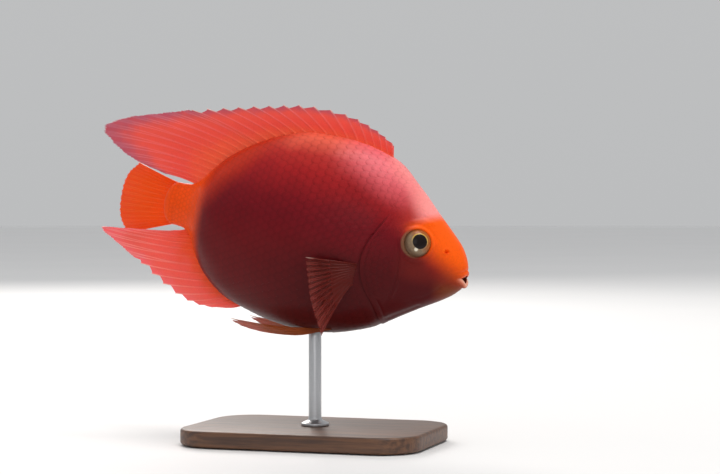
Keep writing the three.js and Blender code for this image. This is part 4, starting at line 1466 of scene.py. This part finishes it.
def belly_point(x, y):
    """The underside of the body over a place seen from below."""
    _, _, bottom, half, widest = section_at_x(x)
    exponent = 2 + BELLY_FULLER
    drop = (1 - min(1, abs(y - sway(x)) / half) ** exponent) ** (1 / exponent)
    return np.array((x, y, widest - (widest - bottom) * drop))


def paired_fan(roots, tips, bow, side):
    mirror = np.array((1, -side, 1))
    guides = []
    for root, tip in zip(roots, tips):
        bend = root + PAIRED_BEND * (tip - root) + bow
        guides.append([point * mirror for point in (root, bend, tip)])
    return fan(guides)


for side, word in ((-1, "right"), (1, "left")):
    roots = [flank_point(row[0], row[1], -1) + (0, ROOT_DEPTH, 0) for row in PECTORAL_RAYS]
    lift = LEFT_PECTORAL_LIFT if side > 0 else 0
    tips = [row[2:] + np.array((0, 0, lift * (PECTORAL_RAYS[0][1] - row[1]))) for row in PECTORAL_RAYS]
    sheet = paired_fan(roots, tips, PECTORAL_BOW, side)
    make_fin(f"pectoral_rays_{word}", sheet, 12, 1, 2.4, side_fin, [f"pectoral_fin_{word}"])
    roots = [belly_point(row[0], row[1]) + (0, 0, ROOT_DEPTH) for row in PELVIC_RAYS]
    tips = [np.array(row[2:]) for row in PELVIC_RAYS]
    sheet = paired_fan(roots, tips, PELVIC_BOW, side)
    make_fin(f"pelvic_rays_{word}", sheet, 7, 1, 2.2, under_fin, [f"pelvic_fin_{word}"])

# %% [markdown]
# ## The stand
# A fish that swims needs something to hold it up. The base is a board of dark oiled hardwood with
# rounded corners and a soft edge, cut from a cube with two bevels. The rod is brushed steel with a
# turned collar: a short cylinder whose top face is drawn in to the rod and pulled up.

# %% Base
BASE_CORNER = 20 * MM
BASE_EDGE = 1.5 * MM

low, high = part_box("stand_base")
middle = (low + high) / 2
size = high - low
board = add(bpy.ops.mesh.primitive_cube_add, size=1, location=middle, scale=size)
bpy.ops.object.transform_apply(location=True, rotation=True, scale=True)


def stands_up(edge):
    first, second = (board.data.vertices[index].co for index in edge.vertices)
    return abs(first.z - second.z) > size.z / 2


select_parts(board, "EDGE", stands_up)
bpy.ops.mesh.bevel(offset=BASE_CORNER, segments=16, affect="EDGES")
select_parts(board, "FACE", lambda face: abs(face.normal.z) > 0.9)
bpy.ops.mesh.bevel(offset=BASE_EDGE, segments=5, affect="EDGES")
bpy.ops.object.mode_set(mode="OBJECT")
bpy.ops.object.shade_smooth_by_angle(angle=math.radians(40))

wood = Finish("oiled_hardwood")
place = wood.place_in({"Rotation": (0, 0, 0.03), "Scale": (MM, MM, MM)})
grain = wood.noise(wood.stretch(place, (0.018, 0.42, 0.42)), 1.0, 5.0, 0.6)
pores = wood.noise(wood.stretch(place, (0.09, 3.2, 3.2)), 1.0, 3.0)
colour = wood.blend(grain.smooth(0.32, 0.68), paint(70, 44, 30), paint(112, 74, 48))
colour = wood.shade(colour, pores * 0.5 + 0.72)
finish_piece(board, "board", wood.surface(wood.node("BsdfPrincipled", None, {
    "Base Color": colour,
    "Roughness": pores * 0.25 + 0.34,
    "Coat Weight": 0.12,
    "Coat Roughness": 0.3,
    "Normal": wood.bump(pores, 0.00012, 0.5),
})), ["stand_base"])

# %% Rod
ROD_RADIUS, COLLAR_RADIUS, COLLAR_HEIGHT = 3.2 * MM, 7.0 * MM, 3.0 * MM
SHOULDER, SHOULDER_RISE = 0.6 * MM, 1.0 * MM  # a last step between the collar and the rod
ROD_INTO_BASE = 0.3 * MM
ROD_INTO_BELLY = 1.2 * MM

low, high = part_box("stand_rod")
rod_bottom = low.z - ROD_INTO_BASE
rod_length = high.z + ROD_INTO_BELLY - rod_bottom
rod = add(
    bpy.ops.mesh.primitive_cylinder_add, vertices=48, radius=COLLAR_RADIUS, depth=COLLAR_HEIGHT / 2,
    location=(0, 0, rod_bottom + COLLAR_HEIGHT / 4),
)
bpy.ops.object.transform_apply(location=True, rotation=True, scale=True)
select_parts(rod, "FACE", lambda face: face.normal.z > 0.9)
radius = COLLAR_RADIUS
for rise, next_radius in (
    (COLLAR_HEIGHT / 2, ROD_RADIUS + SHOULDER),
    (SHOULDER_RISE, ROD_RADIUS),
    (rod_length - COLLAR_HEIGHT - SHOULDER_RISE, ROD_RADIUS),
):
    bpy.ops.mesh.extrude_region_move(TRANSFORM_OT_translate={"value": (0, 0, rise)})
    bpy.ops.transform.resize(value=(next_radius / radius, next_radius / radius, 1))
    radius = next_radius
bpy.ops.object.mode_set(mode="OBJECT")
rounding = rod.modifiers.new("rounding", "BEVEL")
rounding.width = 0.3 * MM
rounding.segments = 3
rounding.limit_method = "ANGLE"
bpy.ops.object.modifier_apply(modifier="rounding")
bpy.ops.object.shade_smooth_by_angle(angle=math.radians(40))

steel = Finish("brushed_steel")
place = steel.place_in({"Scale": (MM, MM, MM)})
brushed = steel.noise(steel.stretch(place, (0.5, 0.5, 9)), 1.0, 3.0)
finish_piece(rod, "rod", steel.surface(steel.node("BsdfPrincipled", None, {
    "Base Color": steel.blend(brushed, paint(176, 177, 180), paint(202, 203, 205)),
    "Metallic": 1.0,
    "Roughness": brushed * 0.2 + 0.24,
    "Normal": steel.bump(brushed, 0.00004, 0.3),
})), ["stand_rod"])
